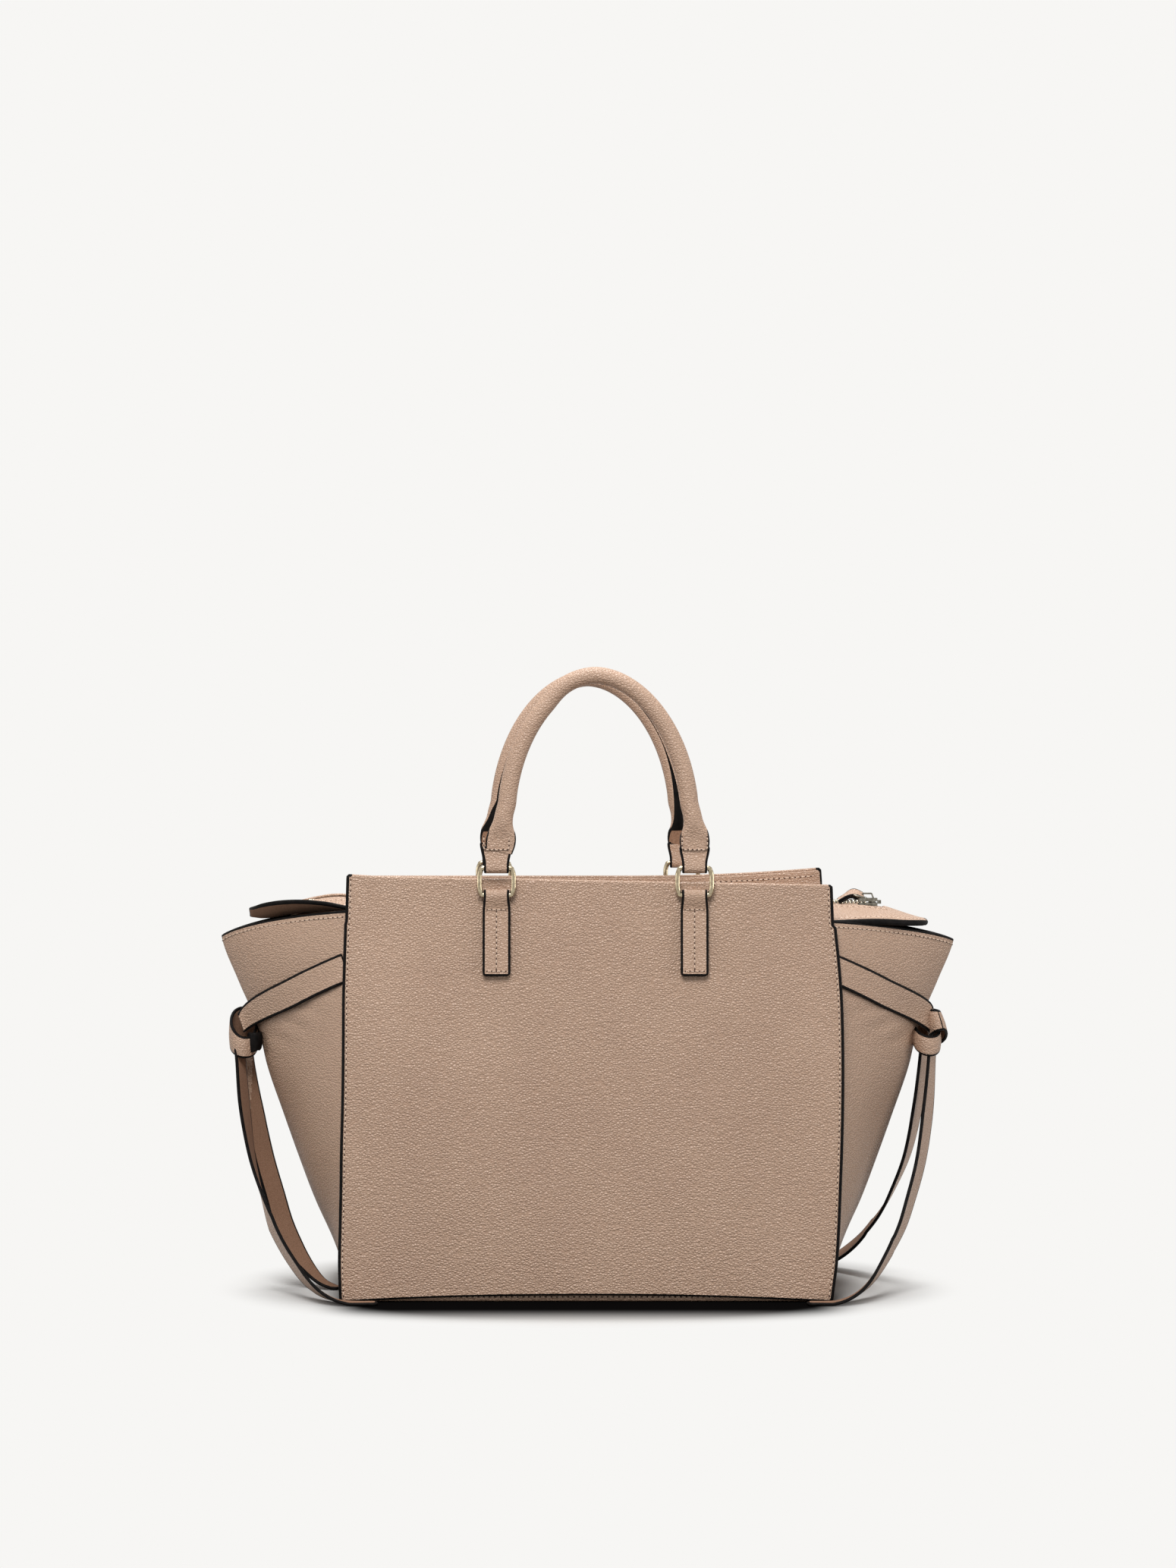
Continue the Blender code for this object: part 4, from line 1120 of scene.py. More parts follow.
    def pocket(self) -> None:
        """A slip pocket on the rear lining, with a sagging mouth and a sewn hem."""
        margins = (0.006, 0.02)
        x = (2 * spaced(18, *margins) - 1) * self.pocket_half
        z = lerp(self.pocket_low, self.pocket_high, spaced(14, *margins))
        across, up = np.meshgrid(x, z)
        bag = 0.0016 * (1 - (across / self.pocket_half) ** 2) * ease((up - 0.1) / 0.105)
        grid = spots(across[:, ::-1], SHELL.depth(up) - self.pocket_behind - bag, up - bag * 0.8)
        work = Work()
        work.hide(grid, self.pocket_thick, PLAIN)
        face = SHELL.depth(self.pocket_hem) - self.pocket_behind - 0.0006
        hem = face - 0.0013 * (1 - (x / self.pocket_half) ** 2)
        work.stitch(spots(x, hem, self.pocket_hem), (0.0, -1.0, 0.0))
        work.build("slip_pocket_cloth", SEWN_CLOTH, "slip_pocket")


@dataclass
class Gussets:
    """The folded gussets with their linings, and the base."""

    thick: float = 0.0016
    foot: float = 0.0006
    flange: float = 0.0078
    stitch_inset: float = 0.0034
    lining_foot: float = 0.0062
    lining_inset: float = 0.0026
    lining_thick: float = 0.0008
    base_thick: float = 0.0018
    base_middle: float = 0.00095
    base_half: float = 0.1515
    base_flat: float = 0.066
    base_end: float = 0.1592
    base_stitch: tuple[float, float] = (0.0712, 0.0034)
    base_lining: tuple[float, float] = (0.158, 0.0685)
    base_lining_height: float = 0.00505
    base_lining_thick: float = 0.0007
    flange_depth: float = 0.0555
    flange_bend: tuple[tuple[float, float], ...] = (
        (0.0692, 0.0112),
        (0.0697, 0.006),
        (0.0702, 0.0032),
        (0.0698, 0.0016),
        (0.0685, 0.001),
    )

    def surface(self, side: Side, shares: tuple[Array, Array], low: float, drop: float = 0.0) -> Array:
        """A wing's surface with slack in it, or its lining's.

        Slow sines push the middle of each wing in and out by up to a millimetre, and a hollow
        with fine pleats below it follows the tie across it.

        Args:
            side: Which end of the bag.
            shares: Places from seam to seam, and from foot to top edge.
            low: Height of the foot.
            drop: Distance of the sheet inside the wing, and of its top below the wing's.

        Returns:
            The grid.
        """
        turn, share = np.meshgrid(side.value * (2 * shares[0] - 1), shares[1])
        top = SHELL.wing_top(side, turn) - drop
        height = lerp(low, top, share)
        middle = np.sin(math.pi * np.clip(np.abs(turn), 0, 1)) ** 1.2
        middle = middle * np.clip((top - height) / 0.03, 0, 1)
        slack = 0.0011 * np.sin(height * 46 + turn * 5.0 + side.value) * np.clip(height / 0.06, 0, 1)
        above = height - Ties.centre_height(turn)
        hollow = -0.0010 * np.exp(-((above / 0.012) ** 2))
        beneath = np.exp(-(((above + 0.018) / 0.009) ** 2))
        pleats = 0.0007 * np.sin(height * 420 + np.abs(turn) * 9) * beneath
        return SHELL.wing(side, turn, height, (slack + hollow + pleats) * middle - drop)

    def gusset(self, side: Side) -> None:
        """A gusset with its sewn-in side flanges, its hem and its lining.

        Args:
            side: Which end of the bag.
        """
        name = f"{side.word}_gusset"
        grid = self.surface(side, (spaced(60, 0.003, 0.010), spaced(70, 0.0035, 0.012)), self.foot)
        ends = grid[:, [0, -1]] - np.array([side.value * self.flange, 0, 0])
        grid = np.concatenate([ends[:, :1], grid, ends[:, 1:]], axis=1)
        tops = SHELL.wing_top(side, np.clip(grid[:, :, 1] / self.flange_depth, -1, 1)) - 0.004
        work = Work()
        work.hide(grid, self.thick, bare=lambda p: p[:, 2] < tops.min())
        for near, far in ((0.965, 0.02), (-0.02, -0.965)):
            turn = np.linspace(near, far, 60)
            top = SHELL.wing_top(side, turn) - self.stitch_inset
            outward = SHELL.wing(side, turn, top, 0.01) - SHELL.wing(side, turn, top)
            work.stitch(SHELL.wing(side, turn, top, self.thick / 2), unit(outward))
        work.build(f"{name}_leather", STRAP, name)
        work = Work()
        shares = spaced(28, 0.01), spaced(24, 0.01)
        grid = self.surface(side, shares, self.lining_foot, self.lining_inset)
        work.hide(grid, self.lining_thick, PLAIN, flip=True)
        work.build(f"{name}_lining_cloth", CLOTH, f"{name}_lining")

    def base(self) -> None:
        """The base panel with its turned-up flanges, and the base lining."""
        bend, flat = np.array(self.flange_bend), np.linspace(-self.base_flat, self.base_flat, 30)
        middle = np.stack([flat, np.full(len(flat), self.base_middle)], axis=1)
        y, z = np.concatenate([bend * [-1, 1], middle, bend[::-1]]).T[..., None]
        x = (2 * spaced(50, 0.003, 0.01) - 1) * self.base_half
        work = Work()
        work.hide(spots(x, y, z), self.base_thick, LINED, flip=True)
        seam, (out, up) = np.linspace(-0.15, 0.15, 120), self.base_stitch
        strip = np.linspace(self.base_half - 0.0003, self.base_end, 5)
        for end in (-1, 1):
            work.stitch(spots(seam, end * out, up), (0.0, end, 0.0))
            gx, gy = np.meshgrid(end * strip, np.linspace(-self.base_flat, self.base_flat, 24))
            work.hide(spots(gx, gy, self.base_middle), self.base_thick, LINED, flip=end > 0)
        work.build("base_leather", LEATHER, "base_panel")
        half_x, half_y = self.base_lining
        gx, gy = np.meshgrid((2 * spaced(30, 0.005) - 1) * half_x, (2 * spaced(14, 0.01) - 1) * half_y)
        gz = self.base_lining_height + 0.0002 * np.sin(gx * 90) * np.sin(gy * 70)
        work = Work()
        work.hide(spots(gx, gy, gz), self.base_lining_thick, PLAIN)
        work.build("base_lining_cloth", CLOTH, "base_lining")

    def build(self) -> None:
        """Build both gussets and the base."""
        for side in Side:
            self.gusset(side)
        self.base()


@dataclass
class Carrying:
    """Tabs, rings and handle of one face."""

    face: Face
    spacing: float = 0.1308
    bar: float = 0.2674
    ring_height: float = 0.0178
    ring_corners: tuple[tuple[float, float], ...] = (
        (0.0087, 0.0),
        (0.0103, 0.0015),
        (0.0112, 0.0046),
        (0.0113, 0.0089),
        (0.0112, 0.0132),
        (0.0103, 0.0163),
        (0.0087, 0.0178),
    )
    wire: float = 0.0017
    tab_ply: float = 0.0016
    tab_low: float = 0.2146
    tab_widths: tuple[float, float] = (0.0168, 0.0150)
    tab_corner: float = 0.0014
    tab_seams: tuple[float, float] = (0.2578, 0.2172)
    loop_ply: float = 0.0015
    loop_widths: tuple[float, float] = (0.0150, 0.0186)
    play: float = 0.0003
    handle_base: float = 0.315
    handle_half: float = 0.0625
    crown: float = 0.4125
    lean: float = 0.0034
    rear_rise: float = 0.0014
    # Inset, rise over the bar, radii across and through, squareness and spread of the seam in
    # degrees, from a handle's flat end to where it is round
    flare: tuple[tuple[float, ...], ...] = (
        (0.0, 0.0108, 0.0090, 0.0026, 4.8, 88),
        (0.0, 0.0135, 0.0095, 0.0028, 4.6, 86),
        (0.0, 0.0165, 0.0099, 0.0030, 4.2, 82),
        (0.0, 0.0198, 0.0098, 0.0034, 3.6, 76),
        (0.0, 0.0232, 0.0091, 0.0042, 3.0, 68),
        (0.0003, 0.0266, 0.0077, 0.0052, 2.5, 58),
        (0.0009, 0.0308, 0.0065, 0.0060, 2.2, 48),
        (0.0018, 0.0360, 0.0061, 0.0062, 2.0, 38),
    )

    @property
    def shift(self) -> float:
        """How far the handle is sewn off the bag's middle."""
        return 0.005 if self.face is Face.FRONT else 0.0

    @property
    def bar_depth(self) -> float:
        """Distance of the rings' plane from the middle plane."""
        return float(SHELL.depth(self.bar)) + 0.004

    @property
    def upper_bar(self) -> float:
        """Height of the rings' upper bars."""
        return self.bar + self.ring_height

    def centre(self, side: Side) -> float:
        """Place of a ring's middle across the bag."""
        return self.shift + side.value * self.spacing / 2

    def place(self, points: Array, x: float) -> Array:
        """Turn points from the face's own frame, where +Y is out of the bag, into the bag's frame.

        Args:
            points: Points with X across, Y out from the middle plane and Z up.
            x: Place of the points' own middle across the bag.

        Returns:
            The points in the bag's frame.
        """
        return points * np.array([self.face.value, self.face.value, 1.0]) + np.array([x, 0, 0])

    def tab(self, side: Side) -> None:
        """A strap folded round the ring's lower bar and sewn flat on the panel.

        Args:
            side: Which end of the handle.
        """
        low, ply, bar = self.tab_low, self.tab_ply, self.bar
        eye = self.wire + self.play + ply / 2
        up, down = np.linspace(low, bar, 30), np.linspace(bar, low, 60)
        over = np.linspace(math.pi, 0, 19)[1:-1]
        sewn = SHELL.depth(down) + 0.0006 + ply * 1.5
        front = lerp(self.bar_depth + eye, sewn, ease((bar - down) / 0.012))
        rows = (
            spots(0, SHELL.depth(up) + 0.0004 + ply / 2, up),
            spots(0, self.bar_depth + eye * np.cos(over), bar + eye * np.sin(over)),
            spots(0, front, down),
        )
        path = np.concatenate(rows)
        path = resample(path, np.linspace(0, along(path)[-1], 170))
        reach = along(path)
        total, edge = reach[-1], 0.0008
        squeeze = ease(1 - np.abs(path[:, 2] - bar) / 0.011)
        width = lerp(*self.tab_widths, squeeze) - 2 * rounded_end(reach, total, self.tab_corner)
        inner = reach[(reach > edge) & (reach < total - edge)]
        at = np.concatenate([[0, edge], inner, [total - edge, total]])
        path, width = resample(path, at), np.interp(at, reach, width)
        grid = sweep(path, (1.0, 0, 0), width, spaced(9, 0.045, 0.12))
        work = Work()
        work.hide(self.place(grid, self.centre(side)), ply)
        across = np.linspace(-0.0062, 0.0062, 12)
        lines = [(spots(across, 0, cross), 0.0031) for cross in self.tab_seams]
        lines.append((spots(0, 0, np.linspace(0.2565, 0.2185, 30)), 0.0035))
        for line, pitch in lines:
            line[:, 1] = np.interp(line[:, 2], down[::-1], front[::-1]) + ply / 2
            line = self.place(line, self.centre(side))
            work.stitch(line, (0.0, self.face.value, 0.05), pitch, 0.0023)
        name = f"{self.face.word}_{side.word}_tab"
        work.build(f"{name}_strap", STRAP, name)

    def ring(self, side: Side) -> None:
        """A rectangular ring with cut corners, of flattened bar.

        Args:
            side: Which end of the handle.
        """
        corners, steps = np.array(self.ring_corners), 120
        loop = np.concatenate([[(0, 0)], corners, [(0, self.ring_height)], corners[::-1] * [-1, 1]])
        closed = np.concatenate([loop[-3:], loop, loop[:4]])
        line = catmull(closed, np.linspace(3, 3 + len(loop), steps, endpoint=False))
        across, through = squared_circle(np.arange(20) * math.tau / 20, 0.75)
        section = across * self.wire * 0.95, through * self.wire
        centre = spots(line[:, 0], self.bar_depth, self.bar + line[:, 1])
        grid = ring_tube(centre, np.array([0.0, 1.0, 0.0]), section)
        work = Work()
        work.tubes(self.place(grid, self.centre(side)), closed=True)
        name = f"{self.face.word}_{side.word}_ring"
        work.build(f"{name}_metal", RING_METAL, name, f"{self.face.word}_rings")

    def spine(self) -> Array:
        """The handle's stations: flared ends joined by an arch, both halves alike.

        The arch is a quarter ellipse each way whose width is the cosine to a power, so that its
        legs stand nearly upright.

        Returns:
            Rows of place across, height, radii across and through, squareness and seam spread.
        """
        out, bar = self.spacing / 2, self.upper_bar
        keys = [(out - inset, bar + rise, *rest) for inset, rise, *rest in self.flare]
        share = np.arange(2, 25) / 24
        turn = math.pi / 2 * share
        across = self.handle_half * np.maximum(np.cos(turn), 0) ** 1.08
        height = lerp(self.handle_base, self.crown, np.sin(turn))
        radius = lerp(0.0061, 0.0056, share)
        spread = 2.5 + 26 * np.maximum(0.0, 1 - share * 2.6) ** 1.5
        arch = np.stack([across, height, radius, radius, 0 * share + 2.0, spread], axis=1)
        half = np.concatenate([keys, arch])
        full = np.concatenate([half, half[-2::-1] * np.array([-1, 1, 1, 1, 1, 1])])
        rows = catmull(full, np.linspace(0, len(full) - 1, 300))
        if self.face is Face.FRONT:
            climb = ease((rows[:, 1] - bar) / 0.024)
            fall = ease((rows[:, 1] - 0.392) / 0.018)
            rows[:, 0] -= (rows[:, 0] > 0) * self.lean * climb * (1 - fall)
        else:
            rows[:, 1] += self.rear_rise * ease((rows[:, 1] - self.handle_base) / 0.09)
        return rows

    def handle(self) -> None:
        """A rolled handle: leather round a cord, its painted edges meeting on the inner side."""
        rows, bar = self.spine(), self.upper_bar
        centre = spots(rows[:, 0], self.bar_depth, rows[:, 1])
        inward = np.array([0.0, -1.0, 0.0])
        outward = np.cross(inward, unit(np.gradient(centre, axis=0)))
        seam_cols, cols = 10, 56
        spread = np.radians(rows[:, 5])[:, None]
        j = np.arange(cols)[None]
        seam = math.pi / 2 + spread * (2 * j / seam_cols - 1)
        rest = math.pi / 2 + spread + (math.tau - 2 * spread) * (j - seam_cols) / (cols - seam_cols)
        across, through = squared_circle(np.where(j <= seam_cols, seam, rest), 2 / rows[:, 4:5])
        across = across * rows[:, 2:3]
        dip = 0.16 * np.sin(math.pi * np.minimum(j, seam_cols) / seam_cols).clip(0) ** 0.5
        through = through * rows[:, 3:4] * (1 - dip)
        grid = centre[:, None] + outward[:, None] * across[..., None] + inward * through[..., None]
        marks = np.zeros((len(rows) - 1, cols), dtype=int)
        marks[:, :seam_cols] = Mark.PAINT
        split = rows[:-1, 1:2] < bar + 0.022
        marks[:, 2 : seam_cols - 2] = np.where(split, Mark.FLESH, Mark.PAINT)
        margin = lerp(0.0010, -0.002, ease((rows[:, 1:2] - bar - 0.020) / 0.014))
        edge = (np.abs(across) > rows[:, 2:3] - margin)[:-1] & (rows[:-1, 1:2] < bar + 0.04)
        work = Work()
        work.tubes(self.place(grid, self.shift), np.where(edge, Mark.PAINT, marks).reshape(-1))
        for side in Side:
            self.loop(work, side)
            self.end_stitches(work, side)
        name = f"{self.face.word}_handle"
        work.build(f"{name}_leather", STRAP, name, f"{self.face.word}_grip")

    def loop(self, work: Work, side: Side) -> None:
        """The strap at a handle's end that is folded round the ring's upper bar.

        Args:
            work: The handle's surfaces.
            side: Which end of the handle.
        """
        eye = self.wire + self.play + self.loop_ply / 2
        turn = np.linspace(math.pi, math.tau, 21)
        z = np.linspace(0.0135, 0, 14)[:-1]
        back = np.stack([lerp(-eye, -0.00155, ease(z / 0.009)), z], axis=1)
        under = eye * np.stack([np.cos(turn), np.sin(turn)], axis=1)
        out, up = np.concatenate([back, under, (back * [-1, 1])[::-1]]).T
        path = spots(0, self.bar_depth + out, self.upper_bar + up)
        path = resample(path, np.linspace(0, along(path)[-1], 70))
        width = lerp(*self.loop_widths, ease((path[:, 2] - self.upper_bar - 0.002) / 0.0115))
        grid = sweep(path, (1.0, 0, 0), width, STRAP_SHARES)
        work.hide(self.place(grid, self.centre(side)), self.loop_ply, flip=True)

    def end_stitches(self, work: Work, side: Side) -> None:
        """Stitches across a handle's flared end and up both its shoulders.

        Args:
            work: The handle's surfaces.
            side: Which end of the handle.
        """
        t = np.linspace(-1, 1, 40)
        x = 0.0083 * np.sign(t) * np.minimum(np.abs(t) * 1.5, 1)
        z = self.upper_bar + 0.0122 + 0.0085 * np.clip((np.abs(t) - 0.62) / 0.38, 0, 1)
        line = self.place(spots(x, self.bar_depth + 0.0031, z), self.centre(side))
        work.stitch(line, (0.0, self.face.value, 0.0), 0.0029, 0.0019)

    def build(self) -> None:
        """Build the tabs, the rings and the handle."""
        for side in Side:
            self.tab(side)
            self.ring(side)
        self.handle()


# Heights in millimetres of a tongue's half at its slot, half way out and at its rim, from the
# flap's end to the tip
CURLED = (
    (261.4, 257.6, 258.6),
    (266.0, 257.6, 260.4),
    (266.4, 257.2, 262.2),
    (265.2, 256.6, 263.2),
    (263.4, 255.8, 263.6),
    (261.0, 254.8, 263.3),
    (257.8, 253.0, 262.3),
    (255.0, 251.8, 260.4),
    (253.8, 252.6, 257.4),
)
RAISED = (
    (261.4, 260.4, 257.6),
    (266.0, 263.4, 259.6),
    (266.4, 263.8, 260.4),
    (265.2, 262.6, 260.0),
    (263.4, 260.6, 258.8),
    (261.0, 258.6, 257.2),
    (257.8, 256.2, 255.6),
    (255.0, 254.0, 254.0),
    (253.8, 252.8, 252.8),
)
DROOPED = (
    (260.2, 255.4, 249.6),
    (260.2, 255.4, 249.8),
    (260.1, 255.4, 250.2),
    (259.8, 255.4, 250.6),
    (259.2, 255.2, 250.7),
    (257.9, 254.8, 250.4),
    (255.0, 253.4, 249.8),
    (252.0, 251.2, 249.4),
    (249.6, 249.5, 249.2),
)


@dataclass
class ZipTop:
    """The zip panel: flaps, tongues, tapes, teeth, stops, slider and pull."""

    height: float = 0.2605
    flap_end: float = 0.1547
    flap_edge: float = 0.008
    flap_drop: float = 0.0018
    flap_ply: float = 0.0016
    flap_stitch: float = 0.0028
    hinge: float = 0.253
    hinge_inset: float = 0.0055
    blend_reach: tuple[float, float] = (0.150, 0.045)
    tape_end: float = 0.2005
    tape_ply: float = 0.0004
    tape_bend: float = 0.188
    tooth_pitch: float = 0.0026
    # Half length, place across and half height of a tooth, from its root to its nose
    tooth: tuple[Triple, ...] = (
        (0.00075, 0.0034, 0.0015),
        (0.00075, 0.0018, 0.0019),
        (0.0006, 0.0006, 0.0019),
        (0.00055, -0.0004, 0.0017),
        (0.0003, -0.0009, 0.0010),
    )
    # Place across and drop of the tape, from its edge at the teeth outwards
    tape_profile: tuple[tuple[float, float], ...] = (
        (0.0026, -0.0012),
        (0.0031, -0.0012),
        (0.0038, -0.0018),
        (0.0055, -0.0028),
        (0.0075, -0.0042),
        (0.0100, -0.0050),
        (0.0126, -0.0056),
    )
    tongue_start: float = 0.1551
    tongue_tip: float = 0.228
    tongue_half: float = 0.047
    slot_end: float = 0.2008
    core: float = 0.36
    rim_start: float = 0.55
    tongue_ply: float = 0.0019
    ring_half: float = 0.0037
    ring_wire: float = 0.0008
    ring_ends: tuple[tuple[float, float], ...] = ((0.1887, 0.2630), (0.1797, 0.2652))
    pull_start: tuple[float, float] = (0.1855, 0.2640)
    pull_length: float = 0.0168
    pull_ply: float = 0.0013
    pull_eye: float = 0.0013
    pull_gap: float = 0.00072
    pull_corner: float = 0.0016
    # Slopes and tilts in degrees, and widths, from the pull's ring to its tip
    pull_slopes: tuple[float, float] = (26.0, -31.0)
    pull_tilts: tuple[float, float] = (36.0, 8.0)
    pull_widths: tuple[float, float] = (0.0056, 0.0088)

    def fit(self, work: Work, face: Face, side: Side, kind: str, cover: Cover, node: str) -> None:
        """Hand over half of a row, which a flap carries from the tongue's end to the middle.

        Args:
            work: Its surfaces.
            face: Which flap.
            side: Which half.
            kind: The last words of its name.
            cover: Its finishes.
            node: The solid that both halves stand for, less the face's word.
        """
        ends = [(side.value * reach, 0.0, self.height) for reach in self.blend_reach]
        node = f"{face.word}_{node}" if side is Side.LEFT else ""
        name = f"{face.word}_{side.word}_zip_{kind}"
        work.build(name, cover, node, blend=(f"{face.word}_flap", *ends))

    def flap(self, face: Face, side: Side) -> None:
        """Half of a flap with the stitches that hold the tape.

        Args:
            face: Which flap.
            side: Which half.
        """
        s, f = side.value, face.value
        hinge_y, edge_z = SHELL.depth(self.hinge) - self.hinge_inset, self.height - self.flap_drop
        x = s * self.flap_end * spaced(30, 0.005, 0.015)
        gx, gi = np.meshgrid(x, spaced(10, 0.017, 0.05))
        sag = -0.0006 * np.sin(math.pi * gi) * (1 + 0.5 * np.sin(gx * 40))
        grid = spots(gx, f * lerp(hinge_y, self.flap_edge, gi), lerp(self.hinge, edge_z, gi) + sag)
        work = Work()
        work.hide(grid, self.flap_ply, bare=everywhere, flip=s * f > 0)
        seam = spots(x, f * (self.flap_edge + self.flap_stitch), edge_z + 0.0003)
        work.stitch(seam, (0.0, 0.19 * f, 1.0))
        self.fit(work, face, side, "flap_leather", LEATHER, "zip_flap")

    def tape(self, face: Face, side: Side) -> None:
        """Half of a woven tape, its edge held in the teeth.

        Args:
            face: Which flap.
            side: Which half.
        """
        s, f = side.value, face.value
        x = s * self.tape_end * spaced(40, 0.004, 0.02)
        y, z = np.array(self.tape_profile)[::-1].T[..., None]
        sag = 0.0030 * ease((np.abs(x) - self.tape_bend) / 0.011)
        work = Work()
        work.hide(spots(x, f * y, self.height + z - sag), self.tape_ply, PLAIN, flip=s * f > 0)
        self.fit(work, face, side, "tape_weave", TAPE, "zip_tape")

    def teeth(self, face: Face, side: Side) -> None:
        """Half of a row of teeth, each a tapered block with a rounded nose.

        Args:
            face: Which flap.
            side: Which half.
        """
        s, f, pitch = side.value, face.value, self.tooth_pitch
        start = 0.0 if face is Face.FRONT else pitch / 2
        last = 0.188 if side is Side.RIGHT else 0.1895
        centres = np.arange(start + pitch / 4, last, pitch)
        length, out, high = np.array(self.tooth).T[..., None]
        corner = np.array([(-1, -0.6), (-0.6, -1), (0.6, -1), (1, -0.6)])
        corner = np.concatenate([corner, -corner])
        ring = spots(corner[:, 0] * length, f * out, corner[:, 1] * high)[:, ::f]
        work = Work()
        work.tubes(ring + spots(s * centres, 0, self.height)[:, None, None])
        self.fit(work, face, side, "teeth_metal", TEETH, "zip_teeth")

    def rim_share(self, edge: Array) -> Array:
        """How far a place is from the rim's start to the rim, to the power of one and a half."""
        return np.clip((edge - self.rim_start) / (1 - self.rim_start), 0, 1) ** 1.5

    def tongue_height(self, side: Side, reach: Array, turn: Array) -> Array:
        """Height of a tongue's upper face.

        Three heights run along the tongue as smooth curves through equally spaced keys: at the
        slot, half way out and at the rim. Across, a soft step joins the first to the second, and
        a power law the second to the third.

        Args:
            side: Which tongue.
            reach: Distances from the bag's middle.
            turn: Minus one at the near rim, one at the far rim.

        Returns:
            The heights.
        """
        halves = (CURLED, RAISED) if side is Side.LEFT else (DROOPED, DROOPED)
        place = (reach - self.flap_end) / (self.tongue_tip - self.flap_end)
        edge = np.clip(np.abs(turn), 0, 1)
        heights = []
        for keys in halves:
            slot, middle, rim = curves(keys, place)
            inner = lerp(slot, middle, ease(edge / self.rim_start))
            outer = lerp(middle, rim, self.rim_share(edge))
            heights.append(np.where(edge < self.rim_start, inner, outer))
        return np.where(turn < 0, *heights)

    def tongue_edge(self, reach: Array) -> Array:
        """Half width of a tongue: it rounds off towards the tip as a power law.

        Args:
            reach: Distances from the bag's middle.

        Returns:
            Distances of the rim from the middle plane.
        """
        out = np.clip((reach - self.tongue_start) / (self.tongue_tip - self.tongue_start), 0, 1)
        return lerp(0.0085, self.tongue_half, np.clip(1 - out**1.7, 0, 1) ** 0.5)

    def tongue_spot(self, side: Side, reach: Array, place: Array) -> Array:
        """Points of a tongue's upper face: inside the core the slot's share of the width.

        Args:
            side: Which tongue.
            reach: Distances from the bag's middle.
            place: Minus one at the near rim, one at the far rim, the core's share at the slot.

        Returns:
            The points.
        """
        half = self.tongue_edge(reach)
        slot = np.minimum(self.flap_edge, 0.42 * half)
        wide = np.clip(np.abs(place), 0, 1)
        leather = lerp(slot, half, (wide - self.core) / (1 - self.core))
        y = np.sign(place) * np.where(wide < self.core, wide / self.core * slot, leather)
        return spots(side.value * reach, y, self.tongue_height(side, reach, y / half))

    def turned(self, points: Array) -> Array:
        """Where a tongue's edge is turned over, not painted: round its slot and at the flaps.

        Args:
            points: Points of the sheet.

        Returns:
            One truth per point.
        """
        reach, across = np.abs(points[:, 0]), np.abs(points[:, 1])
        slot = (reach < self.slot_end + 0.001) & (across < 0.02)
        return (reach < self.tongue_start + 0.0005) | slot

    def tongue(self, side: Side) -> None:
        """A rounded leather end, slotted for the chain, its rim thick with paint.

        On the right the rim swells past the leather's edge, painted shade under the tongue as well.

        Args:
            side: Which tongue.
        """
        right = side is Side.RIGHT
        start, slot_end, tip, core = self.tongue_start, self.slot_end, self.tongue_tip, self.core
        runs = (lerp(start, slot_end, spaced(20, 0.02)), lerp(slot_end, tip, spaced(18, 0.03, 0.08)))
        reach = np.unique(np.concatenate(runs))
        leather = (1 - core) * spaced(15, 0.03, 0.09)
        place = np.concatenate([leather - 1, np.linspace(-core, core, 7)[1:-1], core + leather])
        gu, gr = np.meshgrid(place, reach)
        grid = self.tongue_spot(side, gr, gu)
        rim = self.rim_share(-gu)
        end = np.clip((gr - tip + 0.012) / 0.012, 0, 1) ** 1.5
        lens = ease((gr - start) / (tip - start) / 0.45) if right else 1.0
        # Right rim swollen past the leather: edge paint and painted shade under the tongue
        paint_and_shade_swell, end_share = (0.0023, 1.0) if right else (0.0008, 0.4)
        thick = self.tongue_ply + paint_and_shade_swell * np.maximum(rim * lens, end * end_share)
        grid[:, :, 2] -= thick / 2
        middles = [(line[1:] + line[:-1]) / 2 for line in (place, reach)]
        keep = ~((np.abs(middles[0])[None] < core) & (middles[1] < slot_end)[:, None])

        work = Work()
        work.hide(grid, thick, keep=keep, bare=self.turned, flip=right)
        for way in (-1, 1):
            at = np.linspace(start + 0.001, slot_end + 0.001, 40)
            by_slot = np.full(len(at), way * (core + 0.075))
            work.stitch(self.tongue_spot(side, at, by_slot), (0.0, 0.0, 1.0))
            at = np.linspace(start + 0.001, tip - 0.004, 70)
            inside = 1 - (1 - core) * 0.0036 / self.tongue_edge(at)
            work.stitch(self.tongue_spot(side, at, way * inside), (0.0, way * 0.4, 1.0))
        name = f"{side.word}_zip_tongue"
        work.build(f"{name}_leather", LEATHER, name)

    def pull_ring(self) -> None:
        """The ring that leans up off the slider."""
        near, far = np.array(self.ring_ends)
        run, middle = unit(near - far), (near + far) / 2
        length, across = squared_circle(np.linspace(0, math.tau, 64, endpoint=False), 0.5)
        length = length * np.linalg.norm(near - far) / 2
        x, z = middle[:, None] + run[:, None] * length
        centre = spots(x, across * self.ring_half, z)
        turn = np.arange(12) * math.tau / 12
        section = -self.ring_wire * np.cos(turn), self.ring_wire * np.sin(turn)
        work = Work()
        work.tubes(ring_tube(centre, np.array([-run[1], 0.0, run[0]]), section), closed=True)
        work.build("zip_pull_loop_metal", PULL_METAL, "zip_pull_ring", "pull_ring")

